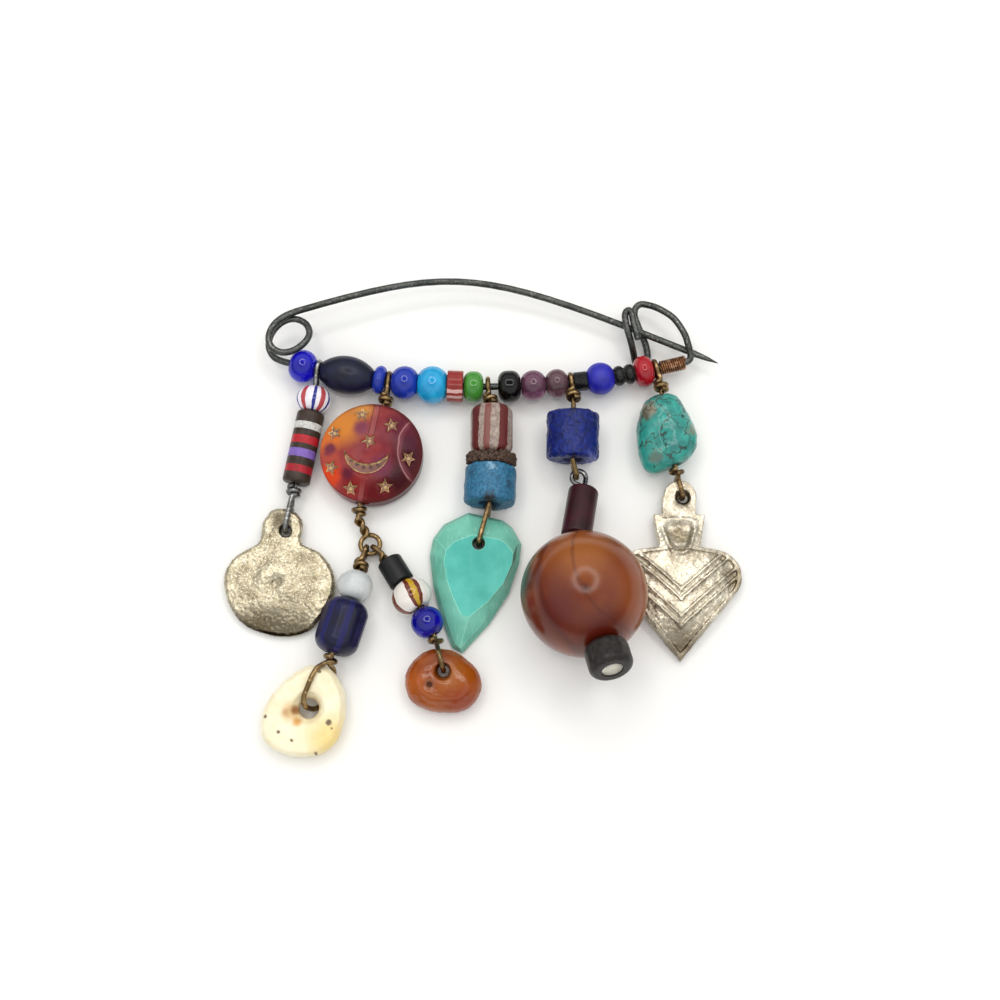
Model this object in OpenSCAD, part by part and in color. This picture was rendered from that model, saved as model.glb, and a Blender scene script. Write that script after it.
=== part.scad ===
// A large safety pin strung with beads, with five drops of beads and charms on wire loops.
// It lies on a flat surface: Z is up, X runs from the coil to the point of the pin.
// Each drop is a string of short straight rows. A row has a length, a lean from straight
// down the page in degrees, and the height of its far end above the surface.

/* [Pin] */
// Diameter of the pin's steel wire
pin_d = 0.8; // [0.6:0.05:1.1]
// Bare wire between the coil and the first bead
lead_in = 0.8; // [0.5:0.1:4]
// Bare wire in the gap beside the third drop
bare_gap = 0.6; // [0.2:0.1:4]
// Radius of the bow of the lower arm
arm_bow_r = 100; // [70:1:300]
// Width of the coil to the middle of the wire
coil_w = 5.4; // [5.2:0.1:7]
// Slope of the upper arm where it leaves the coil
upper_rise = 17; // [12:0.5:24]
// Slope of the upper arm where it passes through the clasp
upper_fall = 22.5; // [12:0.5:30]
// Length of the point beyond the hook
point_len = 13.4; // [9:0.1:20]
// Length of the taper at the point
taper_len = 3.2; // [1:0.1:6]
// Width of the clasp
clasp_w = 8.2; // [7.5:0.1:10]
// Height of the clasp
clasp_h = 8.2; // [7.5:0.1:10]
// Clearance between wires that cross
wire_gap = 0.15; // [0.1:0.01:0.3]

/* [Copper binding] */
// Length of the copper binding on the lower arm
binding_len = 3.6; // [2:0.1:6]
// Diameter of the copper wire
binding_wire_d = 0.26; // [0.2:0.01:0.4]
// Outer diameter of the binding
binding_d = 1.85; // [1.6:0.05:2.4]
// Turns of the binding
binding_turns = 12; // [6:1:13]

/* [Beads on the arm] */
// Gap between neighbouring beads
bead_gap = 0.07; // [0.06:0.01:0.2]
// Diameter of the drilled holes in the beads
bead_bore = 1.2; // [1.15:0.05:1.6]
// Length of the clear cobalt bead
cobalt_clear_len = 3.2; // [2.5:0.1:4.5]
// Diameter of the clear cobalt bead
cobalt_clear_d = 4.25; // [3.5:0.05:4.5]
// Length of the navy oval bead
navy_oval_len = 6.8; // [5:0.1:9]
// Diameter of the navy oval bead
navy_oval_d = 4.9; // [4:0.1:6]
// Length of the blue ring bead
blue_ring_len = 1.5; // [1:0.1:2.5]
// Diameter of the blue ring bead
blue_ring_d = 3.7; // [3:0.1:4.5]
// Tilt of the blue ring bead on the pin
blue_ring_turn = -4; // [-5:1:5]
// Length of the round cobalt bead
cobalt_round_len = 3.3; // [2.5:0.1:4.5]
// Diameter of the round cobalt bead
cobalt_round_d = 4.3; // [3.5:0.05:5]
// Length of the sky blue bead
sky_len = 3.7; // [3:0.1:5]
// Diameter of the sky blue bead
sky_d = 4.85; // [3.8:0.05:5.5]
// Length of the red striped bead
red_striped_len = 2; // [1.5:0.1:3]
// Diameter of the red striped bead
red_striped_d = 4.1; // [3.5:0.1:5]
// Length of the green barrel bead
green_len = 2.5; // [2:0.1:4]
// Diameter of the green barrel bead
green_d = 3.95; // [3.2:0.05:5]
// Length of the black barrel bead
black_len = 2.9; // [2:0.1:4]
// Diameter of the black barrel bead
black_d = 4.05; // [3.2:0.05:5]
// Length of the first mauve bead
mauve_a_len = 3.1; // [2.5:0.1:4]
// Diameter of the first mauve bead
mauve_a_d = 3.9; // [3.2:0.1:5]
// Length of the second mauve bead
mauve_b_len = 2.8; // [2.2:0.1:4]
// Diameter of the second mauve bead
mauve_b_d = 3.75; // [3.2:0.05:5]
// Length of the matte cobalt bead
matte_len = 3.4; // [2.5:0.1:4.5]
// Diameter of the matte cobalt bead
matte_d = 4.15; // [3.5:0.05:5]
// Length of the first small black bead, which has facets
small_a_len = 1.6; // [1.2:0.1:2.5]
// Length of the second small black bead
small_b_len = 1.3; // [1:0.1:2]
// Length of the third small black bead
small_c_len = 1.3; // [1:0.1:2]
// Diameter of the small black beads
small_d = 2.6; // [2.2:0.1:3.5]
// Length of the red bead
red_len = 2.3; // [2:0.1:3.5]
// Diameter of the red bead
red_d = 4.05; // [3.4:0.05:5]

/* [Drop wires] */
// Diameter of the wire of the drops
drop_wire_d = 0.55; // [0.45:0.05:0.65]
// Radius of the loops round the pin
loop_r = 1.05; // [1.05:0.05:1.4]
// Distance from the pin to the first wrap under a loop
neck_len = 1.3; // [1.3:0.05:2]
// Rise of each turn of a wrap
wrap_pitch = 0.62; // [0.6:0.01:0.8]
// Radius of the wraps to the middle of the wire
wrap_r = 0.72; // [0.72:0.01:0.9]

/* [Drop 1, resistor and medal] */
// Diameter of the striped bead
stripe1_d = 4.45; // [3.5:0.1:4.6]
// Length of the striped bead
stripe1_len = 3.2; // [2:0.1:4]
// Diameter of the resistor
resistor_d = 3.5; // [2.5:0.1:4]
// Length of the resistor
resistor_len = 9.4; // [6:0.1:12]
// Length of the medal from its hole to its lower edge
medal_len = 13.1; // [11:0.1:16]
// Width of the medal
medal_w = 13.9; // [11:0.1:14]
// Thickness of the medal
medal_t = 1.6; // [1.2:0.1:2]

/* [Drop 2, glass disc] */
// Diameter of the disc
disc_d = 12.9; // [10:0.1:15]
// Thickness of the disc at its centre
disc_t = 4.4; // [3.6:0.1:5]
// Thickness of the disc at its edge
disc_edge_t = 1.9; // [1.6:0.1:2.6]
// Depth of the pressed stars and crescent
star_depth = 0.25; // [0.1:0.05:0.4]
// Radius of a star to its points
star_r = 1.05; // [0.7:0.05:1.4]
// Length of the twisted pair of wires under the disc
twist_len = 2.4; // [2:0.1:5]
// Radius of the loop that carries the two strings
link_r = 1.25; // [1.25:0.05:1.8]

/* [Drop 2, left string] */
// Diameter of the white bead
white_d = 4.4; // [3.5:0.1:5]
// Length of the white bead
white_len = 3.5; // [2.5:0.1:5]
// Diameter of the navy barrel
barrel_d = 5.5; // [4.5:0.1:5.7]
// Length of the navy barrel
barrel_len = 6.9; // [5:0.1:9]
// Grooves along the navy barrel
barrel_grooves = 9; // [5:1:12]
// Radius of the rounded tool that cut the grooves
groove_r = 2.2; // [1:0.1:3]
// Depth of the grooves
groove_depth = 0.12; // [0.05:0.01:0.25]
// Width of the bone ring
ring_w = 9.4; // [8:0.1:12]
// Length of the bone ring
ring_len = 11.2; // [10:0.1:14]
// Thickness of the bone ring
ring_t = 2.8; // [2:0.1:3]
// Diameter of the hole in the bone ring
ring_hole_d = 2.4; // [2:0.1:3]

/* [Drop 2, right string] */
// Diameter of the black tube bead
tube2_d = 3.2; // [2.6:0.1:3.6]
// Length of the black tube bead
tube2_len = 3.5; // [3:0.1:5]
// Diameter of the striped bead
stripe2_d = 5; // [3.5:0.1:5]
// Length of the striped bead
stripe2_len = 3.7; // [2:0.1:4]
// Diameter of the cobalt bead
cobalt2_d = 4; // [3:0.1:4.5]
// Length of the cobalt bead
cobalt2_len = 3.5; // [2.5:0.1:4.5]
// Width of the amber nugget
amber_w = 9.2; // [7:0.1:11]
// Length of the amber nugget
amber_len = 7.7; // [7:0.1:10]
// Thickness of the amber nugget
amber_t = 3.8; // [3:0.1:4.8]

/* [Drop 3, tube, blue bead and turquoise] */
// Diameter of the striped tube bead
tube3_d = 5.3; // [4.5:0.1:5.4]
// Length of the striped tube bead
tube3_len = 6.35; // [5:0.1:8]
// Length of the crust between the two beads
crust_len = 1.35; // [0.5:0.1:1.5]
// Diameter of the rough blue bead
blue3_d = 6.4; // [5.5:0.1:6.6]
// Length of the rough blue bead
blue3_len = 4.8; // [4:0.1:8]
// Width of the turquoise pendant
pendant_w = 11.3; // [8:0.1:11.5]
// Length of the turquoise pendant
pendant_len = 17.2; // [14:0.1:18]
// Thickness of the turquoise pendant
pendant_t = 2.5; // [2:0.1:2.8]
// Length of the pendant's polished table, as a share of its outline
table_share = 0.58; // [0.5:0.01:0.75]
// Width of the table, as a share of the outline
table_across = 0.75; // [0.5:0.01:0.78]
// Slant of the pendant's wall
wall_slant = 0.55; // [0.1:0.05:0.8]

/* [Drop 4, blue bead, tube and ball] */
// Diameter of the rough blue bead
blue4_d = 6.5; // [5.5:0.1:6.8]
// Length of the rough blue bead
blue4_len = 6; // [5:0.1:8]
// Diameter of the burgundy tube bead
tube4_d = 3.8; // [3:0.05:4.2]
// Length of the burgundy tube bead
tube4_len = 6.8; // [6:0.1:10]
// Diameter of the ball
ball_d = 15.2; // [13.5:0.1:16]
// Slope of the hole through the ball
ball_rise = 23; // [14:1:28]
// Distance of the hole through the ball from its centre
ball_off = 0.5; // [0:0.05:1]
// Diameter of the dark end bead
end_d = 5.3; // [4.5:0.1:6]
// Length of the dark end bead
end_len = 3.5; // [2.5:0.1:5]
// Diameter of the pale core in the end bead
core_d = 2.5; // [2:0.1:3]

/* [Drop 5, turquoise and heart] */
// Width of the turquoise nugget
nugget_w = 7.6; // [6:0.1:8]
// Length of the turquoise nugget
nugget_len = 9.5; // [8:0.1:12]
// Thickness of the turquoise nugget
nugget_t = 5.4; // [4:0.1:5.6]
// Length of the heart charm from its hole to its tip
heart_len = 20.5; // [17:0.1:24]
// Distance of each lobe's centre from the middle of the heart
lobe_off = 4.35; // [3:0.05:4.4]
// Radius of the two lobes of the heart
lobe_r = 3.3; // [2.6:0.1:3.4]
// Thickness of the heart charm
heart_t = 1.3; // [1:0.1:1.8]
// Height of the raised ridges on the heart
heart_relief = 0.4; // [0.2:0.05:0.6]

/* [Hidden] */

UP = [0, 0, 1];
floor_gap = 0.03;
wire_r = drop_wire_d / 2;
// The end of a loop's wire tucked beside its shaft, and the wide hole of a bead that takes both
tuck_off = drop_wire_d + 0.1;
wide_bore = 2 * (tuck_off + wire_r) + 0.5;
// The hole of a bead where the wire bends
bent_bore = bead_bore + 0.2;
stack = pin_d + wire_gap;
loop_w = drop_wire_d + 0.12;
function wrap_len(turns) = turns * wrap_pitch + drop_wire_d + 0.12;

// Vectors
function unit(v) = v / norm(v);
function across(v, n) = unit(v - (v * n) * n);
function mix(a, b, t) = a + (b - a) * t;
function total(list, to, i = 0, sum = 0) = i >= to ? sum : total(list, to, i + 1, sum + list[i]);
function flip(list) = [for (i = [len(list) - 1:-1:0]) list[i]];
function last(list) = list[len(list) - 1];
function page(lean) = [sin(lean), -cos(lean), 0];

// Lower arm: a wide arc that sags in the middle, with its items in their order from the coil
ARM = [["lead", lead_in], ["cobalt_clear", cobalt_clear_len], ["loop1", loop_w],
    ["navy_oval", navy_oval_len], ["blue_ring", blue_ring_len], ["loop2", loop_w],
    ["cobalt_round", cobalt_round_len], ["sky", sky_len], ["red_striped", red_striped_len],
    ["green", green_len], ["loop3", loop_w + 0.4], ["bare", bare_gap], ["black", black_len],
    ["mauve_a", mauve_a_len], ["mauve_b", mauve_b_len], ["loop4", loop_w],
    ["small_a", small_a_len], ["matte", matte_len], ["small_b", small_b_len],
    ["small_c", small_c_len], ["red", red_len], ["loop5", loop_w], ["binding", binding_len],
    ["tail", 0.05]];
item_len = [for (item = ARM) item[1] + bead_gap];
arm_len = total(item_len, len(ARM));
arm_z = max(cobalt_clear_d, navy_oval_d, cobalt_round_d, sky_d, red_striped_d, green_d, black_d,
    mauve_a_d, mauve_b_d, matte_d, red_d, blue_ring_d, small_d) / 2 + floor_gap;
function arm_turn(s) = (s - arm_len / 2) / arm_bow_r * 180 / PI;
function arm_at(s) = [arm_bow_r * sin(arm_turn(s)), arm_bow_r * (1 - cos(arm_turn(s))), arm_z];
function arm_s(name) = let (i = search([name], ARM, 1, 0)[0]) total(item_len, i) + item_len[i] / 2;
function arm_mid(name) = arm_at(arm_s(name));

// Sweeps a round wire along a path, carrying its frame from ring to ring
function tangents(p) = [for (i = [0:len(p) - 1]) unit(p[min(i + 1, len(p) - 1)] - p[max(i - 1, 0)])];
function carry(t, u, i = 0, done = []) =
    i >= len(t) ? done : let (v = across(u, t[i])) carry(t, v, i + 1, concat(done, [v]));
module wire(path, radii, sides, side = [0.3, 0.5, 0.8]) {
    t = tangents(path);
    u = carry(t, side);
    rings = len(path);
    points = [for (i = [0:rings - 1], k = [0:sides - 1])
        path[i] + radii[i] * (cos(360 * k / sides) * u[i] + sin(360 * k / sides) * cross(t[i], u[i]))];
    wall = [for (i = [0:rings - 2], k = [0:sides - 1])
        let (a = i * sides + k, b = i * sides + (k + 1) % sides)
        each [[a, a + sides, b], [b, a + sides, b + sides]]];
    ends = [[for (k = [0:sides - 1]) k], [for (k = [sides - 1:-1:0]) (rings - 1) * sides + k]];
    polyhedron(points, concat(wall, ends), convexity = 10);
}
module drop_wire(path) wire(path, [for (p = path) wire_r], 6);

// Closes a stack of rings, each a list of points in the same order, into one solid
module skin(rings) {
    n = len(rings[0]);
    top = len(rings) - 1;
    wall = [for (i = [0:top - 1], k = [0:n - 1])
        let (a = i * n + k, b = i * n + (k + 1) % n)
        each [[a, a + n, b], [b, a + n, b + n]]];
    ends = [[for (k = [0:n - 1]) k], [for (k = [n - 1:-1:0]) top * n + k]];
    polyhedron([for (ring = rings) each ring], concat(wall, ends), convexity = 6);
}

// Puts a piece that runs along X at a point, turned to a direction
module along(p, d) translate(p) rotate([0, -asin(d.z / norm(d)), atan2(d.y, d.x)]) children();

// Strings: the rows of a drop become [start, direction, length], and one more holds the end
function walk(at, rows, i = 0, done = []) =
    i >= len(rows) ? concat(done, [[at, last(done)[1], 0]]) :
    let (row = rows[i], rise = row[2] - at.z, run = sqrt(row[0] * row[0] - rise * rise),
        next = at + run * page(row[1]) + [0, 0, rise])
    walk(next, rows, i + 1, concat(done, [[at, unit(next - at), row[0]]]));
module seat(row) along(row[0], row[1]) translate([row[2] / 2, 0, 0]) children();

// A wire loop: from the shaft at a round the centre c, long half l, half height h, and back to
// a wrap of so many turns that runs along d. With no turns the end is tucked beside the shaft.
loop_steps = 11;
function soft(v, power) = (v < 0 ? -1 : 1) * pow(abs(v), power);
function wrap(a, d, turns) =
    let (f = across(UP, d), g = cross(d, f))
    [for (k = [0:round(10 * turns)])
        a + d * (wire_r + 0.02 + wrap_pitch * k / 10) + wrap_r * (cos(36 * k) * f + sin(36 * k) * g)];
function tuck(a, d) = let (f = across(UP, d)) [a + tuck_off * f, a + d * 0.9 + tuck_off * f];
function hook(a, c, axis, up, l, h, d, turns, swing = 0) =
    let (f = across(up, axis), g = cross(axis, f), low = 15, high = 60, power = l > h ? 0.5 : 1)
    concat([a],
        [for (k = [0:loop_steps]) let (t = -low - (360 - low - high) * k / loop_steps)
            c + l * soft(cos(t), power) * axis + h * soft(sin(t), power) * f + swing * sin(t) * g],
        turns > 0 ? wrap(a, d, turns) : tuck(a, d));
// The loop round the pin at the top of a drop
function pin_hook(name, row, turns) =
    flip(hook(row[0], arm_mid(name), page(arm_turn(arm_s(name))), UP, loop_r, loop_r, row[1], turns));
// The loop through the hole of a charm, whose rim is so wide and so thick, with some slack
eye_slack = 0.45;
function charm_hook(row, turns, hole, pitch, hole_r, rim, rim_t, swing = 0) =
    let (to = row[0] - hole, axis = cos(pitch) * unit([to.x, to.y, 0]) + sin(pitch) * UP,
        l = (hole_r + rim + eye_slack) / 2, h = rim_t / 2 + wire_r + wire_gap)
    hook(row[0], hole + axis * l, axis, UP, l, h, -row[1], turns, swing);

// Bead shapes, made along X
module bead(len, d, end_d, bore) {
    bulge = (d - end_d) / 2;
    arc_r = (len * len / 4 + bulge * bulge) / (2 * bulge);
    rotate([0, 90, 0]) rotate_extrude($fn = 64) intersection() {
        translate([d / 2 - arc_r, 0]) circle(r = arc_r, $fn = 96);
        translate([bore / 2, -len / 2]) square([d, len]);
    }
}
module drum(len, d, edge, bore) {
    rotate([0, 90, 0]) rotate_extrude($fn = 64) intersection() {
        translate([bore / 2, -len / 2]) square([d, len]);
        union() {
            translate([0, -len / 2]) square([d / 2 - edge, len]);
            translate([0, edge - len / 2]) square([d / 2, len - 2 * edge]);
            for (s = [-1, 1]) translate([d / 2 - edge, s * (len / 2 - edge)]) circle(r = edge, $fn = 32);
        }
    }
}
module on_arm(name) translate(arm_mid(name)) rotate([0, 0, arm_turn(arm_s(name))]) children();

// Outlines: moves each corner of an outline in along its own normal
function inset(shape, d) = [for (i = [0:len(shape) - 1])
    let (v = shape[(i + 1) % len(shape)] - shape[(i + len(shape) - 1) % len(shape)])
    shape[i] + unit([-v.y, v.x]) * d];
function spread(shape, w, l) = [for (p = shape) [p.x * l, p.y * w]];
// Adds a point on a smooth curve between each two points of a closed outline
function rounded(shape) = let (n = len(shape)) [for (i = [0:n - 1], half = [0, 1])
    let (a = shape[(i + n - 1) % n], b = shape[i], c = shape[(i + 1) % n], d = shape[(i + 2) % n])
    half == 0 ? b : (9 * (b + c) - a - d) / 16];
// A plate with a shaped edge: each layer has a height share and an inset
module plate(shape, t, layers) skin([for (layer = layers) [for (p = inset(shape, layer[1]))
    [p.x, p.y, (layer[0] - 0.5) * t]]]);

// Pin wire
// Coil and clasp routes start at the ends of the lower arm. A row has shares of the coil's or
// clasp's size to the right and up the page, and a level in crossings of the wire above the arm
COIL = [[0, 0, 0], [-0.22, 0.09, 0.1], [-0.33, 0.23, 0.25], [-0.375, 0.4, 0.4],
    [-0.345, 0.6, 0.55], [-0.23, 0.8, 0.7], [-0.05, 0.96, 0.8], [0.16, 1.03, 0.9], [0.36, 0.99, 1],
    [0.53, 0.86, 1.2], [0.61, 0.65, 1.45], [0.57, 0.46, 1.7], [0.42, 0.27, 1.85],
    [0.2, 0.135, 1.9], [-0.03, 0.11, 1.9], [-0.23, 0.21, 1.87], [-0.33, 0.38, 1.85],
    [-0.335, 0.57, 1.85], [-0.245, 0.79, 1.87], [-0.07, 0.97, 1.88], [0.16, 1.1, 1.86],
    [0.43, 1.205, 1.8]];
coil_foot = arm_at(0);
coil_points = [for (row = COIL) coil_foot + [row[0] * coil_w, row[1] * coil_w, row[2] * stack]];
coil_end = last(coil_points);
foot = (pin_d / 2 + floor_gap - arm_z) / stack + 0.06;
CLASP = [[0, 0, 0], [0.045, 0.03, 0.1], [0.058, 0.09, 0.35], [0.035, 0.175, 0.8],
    [0.005, 0.27, 1.1], [-0.02, 0.37, 1.1], [-0.08, 0.51, 1], [-0.19, 0.69, 0.8],
    [-0.32, 0.81, 0.5], [-0.47, 0.91, 0.2], [-0.605, 0.965, -0.1], [-0.69, 0.985, -0.3],
    [-0.76, 0.95, -0.5], [-0.79, 0.88, -0.7], [-0.79, 0.81, -0.85], [-0.765, 0.73, -1],
    [-0.7, 0.545, -1.1], [-0.625, 0.36, -1.25], [-0.59, 0.18, -1.7], [-0.615, 0.07, foot],
    [-0.695, 0.03, foot], [-0.775, 0.07, foot], [-0.805, 0.15, -1.5], [-0.84, 0.25, -0.5],
    [-0.875, 0.345, 0.3], [-0.925, 0.47, 1.05], [-0.955, 0.635, 1.15], [-0.962, 0.73, 1.15],
    [-0.942, 0.79, 1.15], [-0.905, 0.812, 1.15], [-0.868, 0.79, 1.2], [-0.852, 0.73, 1.2],
    [-0.825, 0.58, 1.2], [-0.79, 0.45, 1.15], [-0.765, 0.33, 1.1]];
clasp_foot = arm_at(arm_len);
clasp_points = [for (row = CLASP)
    clasp_foot + [row[0] * clasp_w, row[1] * clasp_h, row[2] * stack]];
function spline_at(p, i, t) =
    let (a = p[max(i - 1, 0)], b = p[i], c = p[i + 1], d = p[min(i + 2, len(p) - 1)])
    (2 * b + (c - a) * t + (2 * a - 5 * b + 4 * c - d) * t * t + (3 * b - a - 3 * c + d) * t * t * t) / 2;
function spline(p) = concat([for (i = [0:len(p) - 2], half = [0, 0.5]) spline_at(p, i, half)],
    [last(p)]);
// Upper arm: one curve from the coil to the catch, then straight on to the point
catch_across = 1.02;
catch_up = 0.622;
catch = clasp_foot + [-catch_across * clasp_w, catch_up * clasp_h, 0];
handle = 0.44 * norm(catch - coil_end);
catch_pull = 1.14;
rise_dir = [cos(upper_rise), sin(upper_rise), 0];
fall_dir = [cos(upper_fall), -sin(upper_fall), 0];
function bow_at(t) = pow(1 - t, 3) * coil_end + 3 * t * pow(1 - t, 2) * (coil_end + handle * rise_dir)
    + 3 * t * t * (1 - t) * (catch - catch_pull * handle * fall_dir) + pow(t, 3) * catch;
point_drop = [0, 0, -0.35 * pin_d];
function point_at(back, drop) = catch + fall_dir * (point_len - back) + drop * point_drop;
upper_route = concat([point_at(0, 1.5), point_at(taper_len * 0.45, 1.2), point_at(taper_len, 1)],
    [for (k = [16:-1:1]) bow_at(k / 16)]);
arm_start = coil_points[0] + [0.3 * coil_w, -0.08 * coil_w, 0];
coil_spline = spline(concat([arm_start], coil_points, [coil_end + 0.2 * coil_w * rise_dir]));
coil_route = flip([for (i = [3:len(COIL) * 2 - 1]) coil_spline[i]]);
arm_route = [for (k = [0:16]) arm_at(arm_len * k / 16)];
clasp_spline = spline(clasp_points);
clasp_route = [for (i = [1:len(CLASP) * 2 - 2]) clasp_spline[i]];
pin_route = concat(upper_route, coil_route, arm_route, clasp_route);
point_radii = [pin_d * 0.06, pin_d * 0.34];
pin_radii = [for (i = [0:len(pin_route) - 1]) i < 2 ? point_radii[i] : pin_d / 2];

// Rows of each drop: length, lean, height of the far end
function arm_lean(name) = arm_turn(arm_s(name));
drop1 = walk(arm_mid("loop1"), [[2.45, -5, 2.4],
    [stripe1_len + 0.1, -8, stripe1_d / 2 + 0.12],
    [resistor_len + 0.1, -10.6, resistor_d / 2 + floor_gap + 0.06],
    [wrap_len(2), -10, 1.85]]);
disc_z = disc_t / 2 + floor_gap;
drop2 = walk(arm_mid("loop2"), [[neck_len + 0.3, arm_lean("loop2") + 4, arm_z],
    [wrap_len(2), -14, arm_z],
    [disc_d + 0.2, -12, disc_z],
    [wrap_len(1.5), -8, disc_z - 0.3]]);
disc_foot = last(drop2)[0];
link_z = wire_r + floor_gap + 0.8;
twist_end = disc_foot + twist_len * page(26) + [0, 0, link_z - disc_foot.z];
link_mid = twist_end + link_r * page(22);
hang_r = 0.85;
left_at = link_mid + link_r * page(-30);
left = walk(left_at, [[1.15, -15, 1.5],
    [wrap_len(2), -8, white_d / 2 + 0.1],
    [white_len + 0.2, -15, barrel_d / 2 + 0.1],
    [barrel_len + 0.1, -16.5, barrel_d / 2 + 0.4],
    [wrap_len(1), -20, barrel_d / 2 + 0.2]]);
right_at = link_mid + link_r * page(48);
right = walk(right_at, [[1.1, 50, 1.4],
    [wrap_len(0.5), 44, tube2_d / 2 + 0.15],
    [tube2_len + 0.2, 31, tube2_d / 2 + 0.75],
    [stripe2_len + 0.25, 34, stripe2_d / 2 + 0.4],
    [cobalt2_len + 0.2, 28, cobalt2_d / 2 + 0.9],
    [wrap_len(1), 16, cobalt2_d / 2 + 0.8]]);
drop3 = walk(arm_mid("loop3"), [[neck_len, arm_lean("loop3") + 9, arm_z + 0.5],
    [wrap_len(2), 9, tube3_d / 2 + 0.9],
    [tube3_len + 0.1, 0, blue3_d / 2 + 0.2],
    [crust_len + 0.12, -1.5, blue3_d / 2 + 0.16],
    [blue3_len + 0.15, -3, blue3_d / 2 + 0.16]]);
drop4 = walk(arm_mid("loop4"), [[neck_len + 0.05, arm_lean("loop4") + 5, arm_z + 0.6],
    [wrap_len(2), 0, arm_z + 1.1],
    [1.65, -3, blue4_d / 2 + 0.75],
    [blue4_len + 0.1, -1.5, blue4_d / 2 + 0.15]]);
ring4_r = 0.9;
link4 = last(drop4)[0] + 1.3 * page(16) + [0, 0, -0.8];
ring4_mid = link4 + ring4_r * page(30);
ball_z = ball_d / 2 + floor_gap;
entry_z = ball_z - ball_d / 2 * sin(ball_rise);
ball_row = ball_d + 0.1;
drop4b = walk(ring4_mid, [[1.75, 20, link4.z],
    [tube4_len + 0.1, -10, entry_z - 0.2],
    [0.9, -30, entry_z],
    [ball_row, 13.5, entry_z + ball_row * sin(ball_rise)],
    [end_len, 13.5, entry_z + (ball_row + end_len) * sin(ball_rise)]]);
drop5 = walk(arm_mid("loop5"), [[neck_len + 0.3, arm_lean("loop5") + 8, arm_z + 0.1],
    [wrap_len(2), 4, arm_z + 0.2],
    [0.3, -14, nugget_t / 2 + 0.1],
    [nugget_len + 0.1, 8.5, nugget_t / 2 + 0.2],
    [wrap_len(1), 14, nugget_t / 2 + 0.1]]);

// Charms: the hole's place at half thickness, and the slope down to the far end
charm_hole_r = 0.68;
lift = drop_wire_d + wire_gap + floor_gap + 0.04;
function hole_at(drop, reach, lean, t) = let (end = last(drop)[0])
    [end.x, end.y, t / 2 + lift] + reach * page(lean);
medal_rim = 2.2;
medal_hole = hole_at(drop1, medal_rim + charm_hole_r + 1.4, -9.5, medal_t);
ring_rim = ring_len * 0.365;
ring_hole = hole_at(left, ring_rim + ring_hole_d / 2 + 0.5, -23, ring_t);
amber_rim = 2.05;
amber_hole = hole_at(right, amber_rim + charm_hole_r + 0.5, 15, amber_t);
pendant_rim = 3.5;
pendant_hole = hole_at(drop3, pendant_rim + charm_hole_r + 0.8, -15, pendant_t);
heart_rim = 1.4;
heart_hole = hole_at(drop5, heart_rim + charm_hole_r + eye_slack, 15, heart_t);
function tilt(hole, len, t) = asin((hole.z - t / 2 - floor_gap) / len);
medal_tilt = tilt(medal_hole, medal_len, medal_t);
ring_tilt = tilt(ring_hole, ring_len * 0.55, ring_t);
amber_tilt = tilt(amber_hole, amber_len * 0.5, amber_t);
pendant_tilt = tilt(pendant_hole, pendant_len * 0.77, pendant_t);
heart_tilt = tilt(heart_hole, heart_len, heart_t);
module hang(hole, lean, pitch) translate(hole) rotate([0, pitch, lean - 90]) children();

// Outlines, as shares of length down from the hole and of width to the right of it
MEDAL = rounded([[-0.222, -0.02], [-0.2, -0.13], [-0.09, -0.21], [0.03, -0.215],
    [0.12, -0.24], [0.19, -0.37], [0.28, -0.475], [0.42, -0.535], [0.6, -0.52], [0.76, -0.455],
    [0.9, -0.33], [0.98, -0.13], [1, 0.06], [0.94, 0.24], [0.79, 0.36], [0.62, 0.44],
    [0.46, 0.45], [0.32, 0.4], [0.19, 0.29], [0.13, 0.15], [0.06, 0.135], [-0.06, 0.155],
    [-0.17, 0.1]]);
RING = rounded([[-0.47, 0.1], [-0.44, -0.08], [-0.3, -0.32], [-0.08, -0.52], [0.17, -0.61],
    [0.36, -0.55], [0.48, -0.34], [0.52, -0.06], [0.47, 0.2], [0.32, 0.38], [0.06, 0.47],
    [-0.16, 0.45], [-0.33, 0.36], [-0.43, 0.25]]);
AMBER = rounded([[-0.35, -0.02], [-0.33, -0.2], [-0.2, -0.38], [0.05, -0.5], [0.3, -0.49],
    [0.5, -0.38], [0.62, -0.16], [0.65, 0.08], [0.6, 0.3], [0.42, 0.45], [0.2, 0.5],
    [-0.02, 0.44], [-0.2, 0.3], [-0.32, 0.14]]);
PENDANT = [[-0.195, 0.26], [-0.25, -0.12], [-0.16, -0.39], [-0.05, -0.51], [0.08, -0.54],
    [0.3, -0.495], [0.53, -0.4], [0.74, -0.28], [0.778, -0.165], [0.57, 0.12], [0.35, 0.33],
    [0.12, 0.45], [-0.02, 0.47], [-0.14, 0.37]];
// The point that the pendant's table closes in on
TABLE_MID = [0.2, 0.11];
// Sections of the turquoise nugget along its hole: share of length, of width, of thickness, a
// shift to one side as a share of width, and a slant
NUGGET = [[0, 0.3, 0.42, -0.02, 0], [0.06, 0.55, 0.7, -0.03, 0], [0.2, 0.75, 0.9, -0.05, 0],
    [0.42, 0.94, 1, -0.05, 0.03], [0.62, 1.02, 0.98, -0.05, 0.07], [0.8, 1, 0.92, -0.06, 0.12],
    [0.93, 0.84, 0.72, -0.09, 0.18], [1, 0.56, 0.4, -0.1, 0.2]];

// Origin: the middle of the footprint of the whole brooch
function charm_xy(shape, hole, w, l, lean) = [for (p = shape)
    hole + p.x * l * page(lean) + p.y * w * page(lean + 90)];
medal_xy = charm_xy(MEDAL, medal_hole, medal_w, medal_len * cos(medal_tilt), 0);
ring_lean = -2;
ring_xy = charm_xy(RING, ring_hole, ring_w, ring_len * cos(ring_tilt), ring_lean);
heart_lean = -1;
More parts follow.
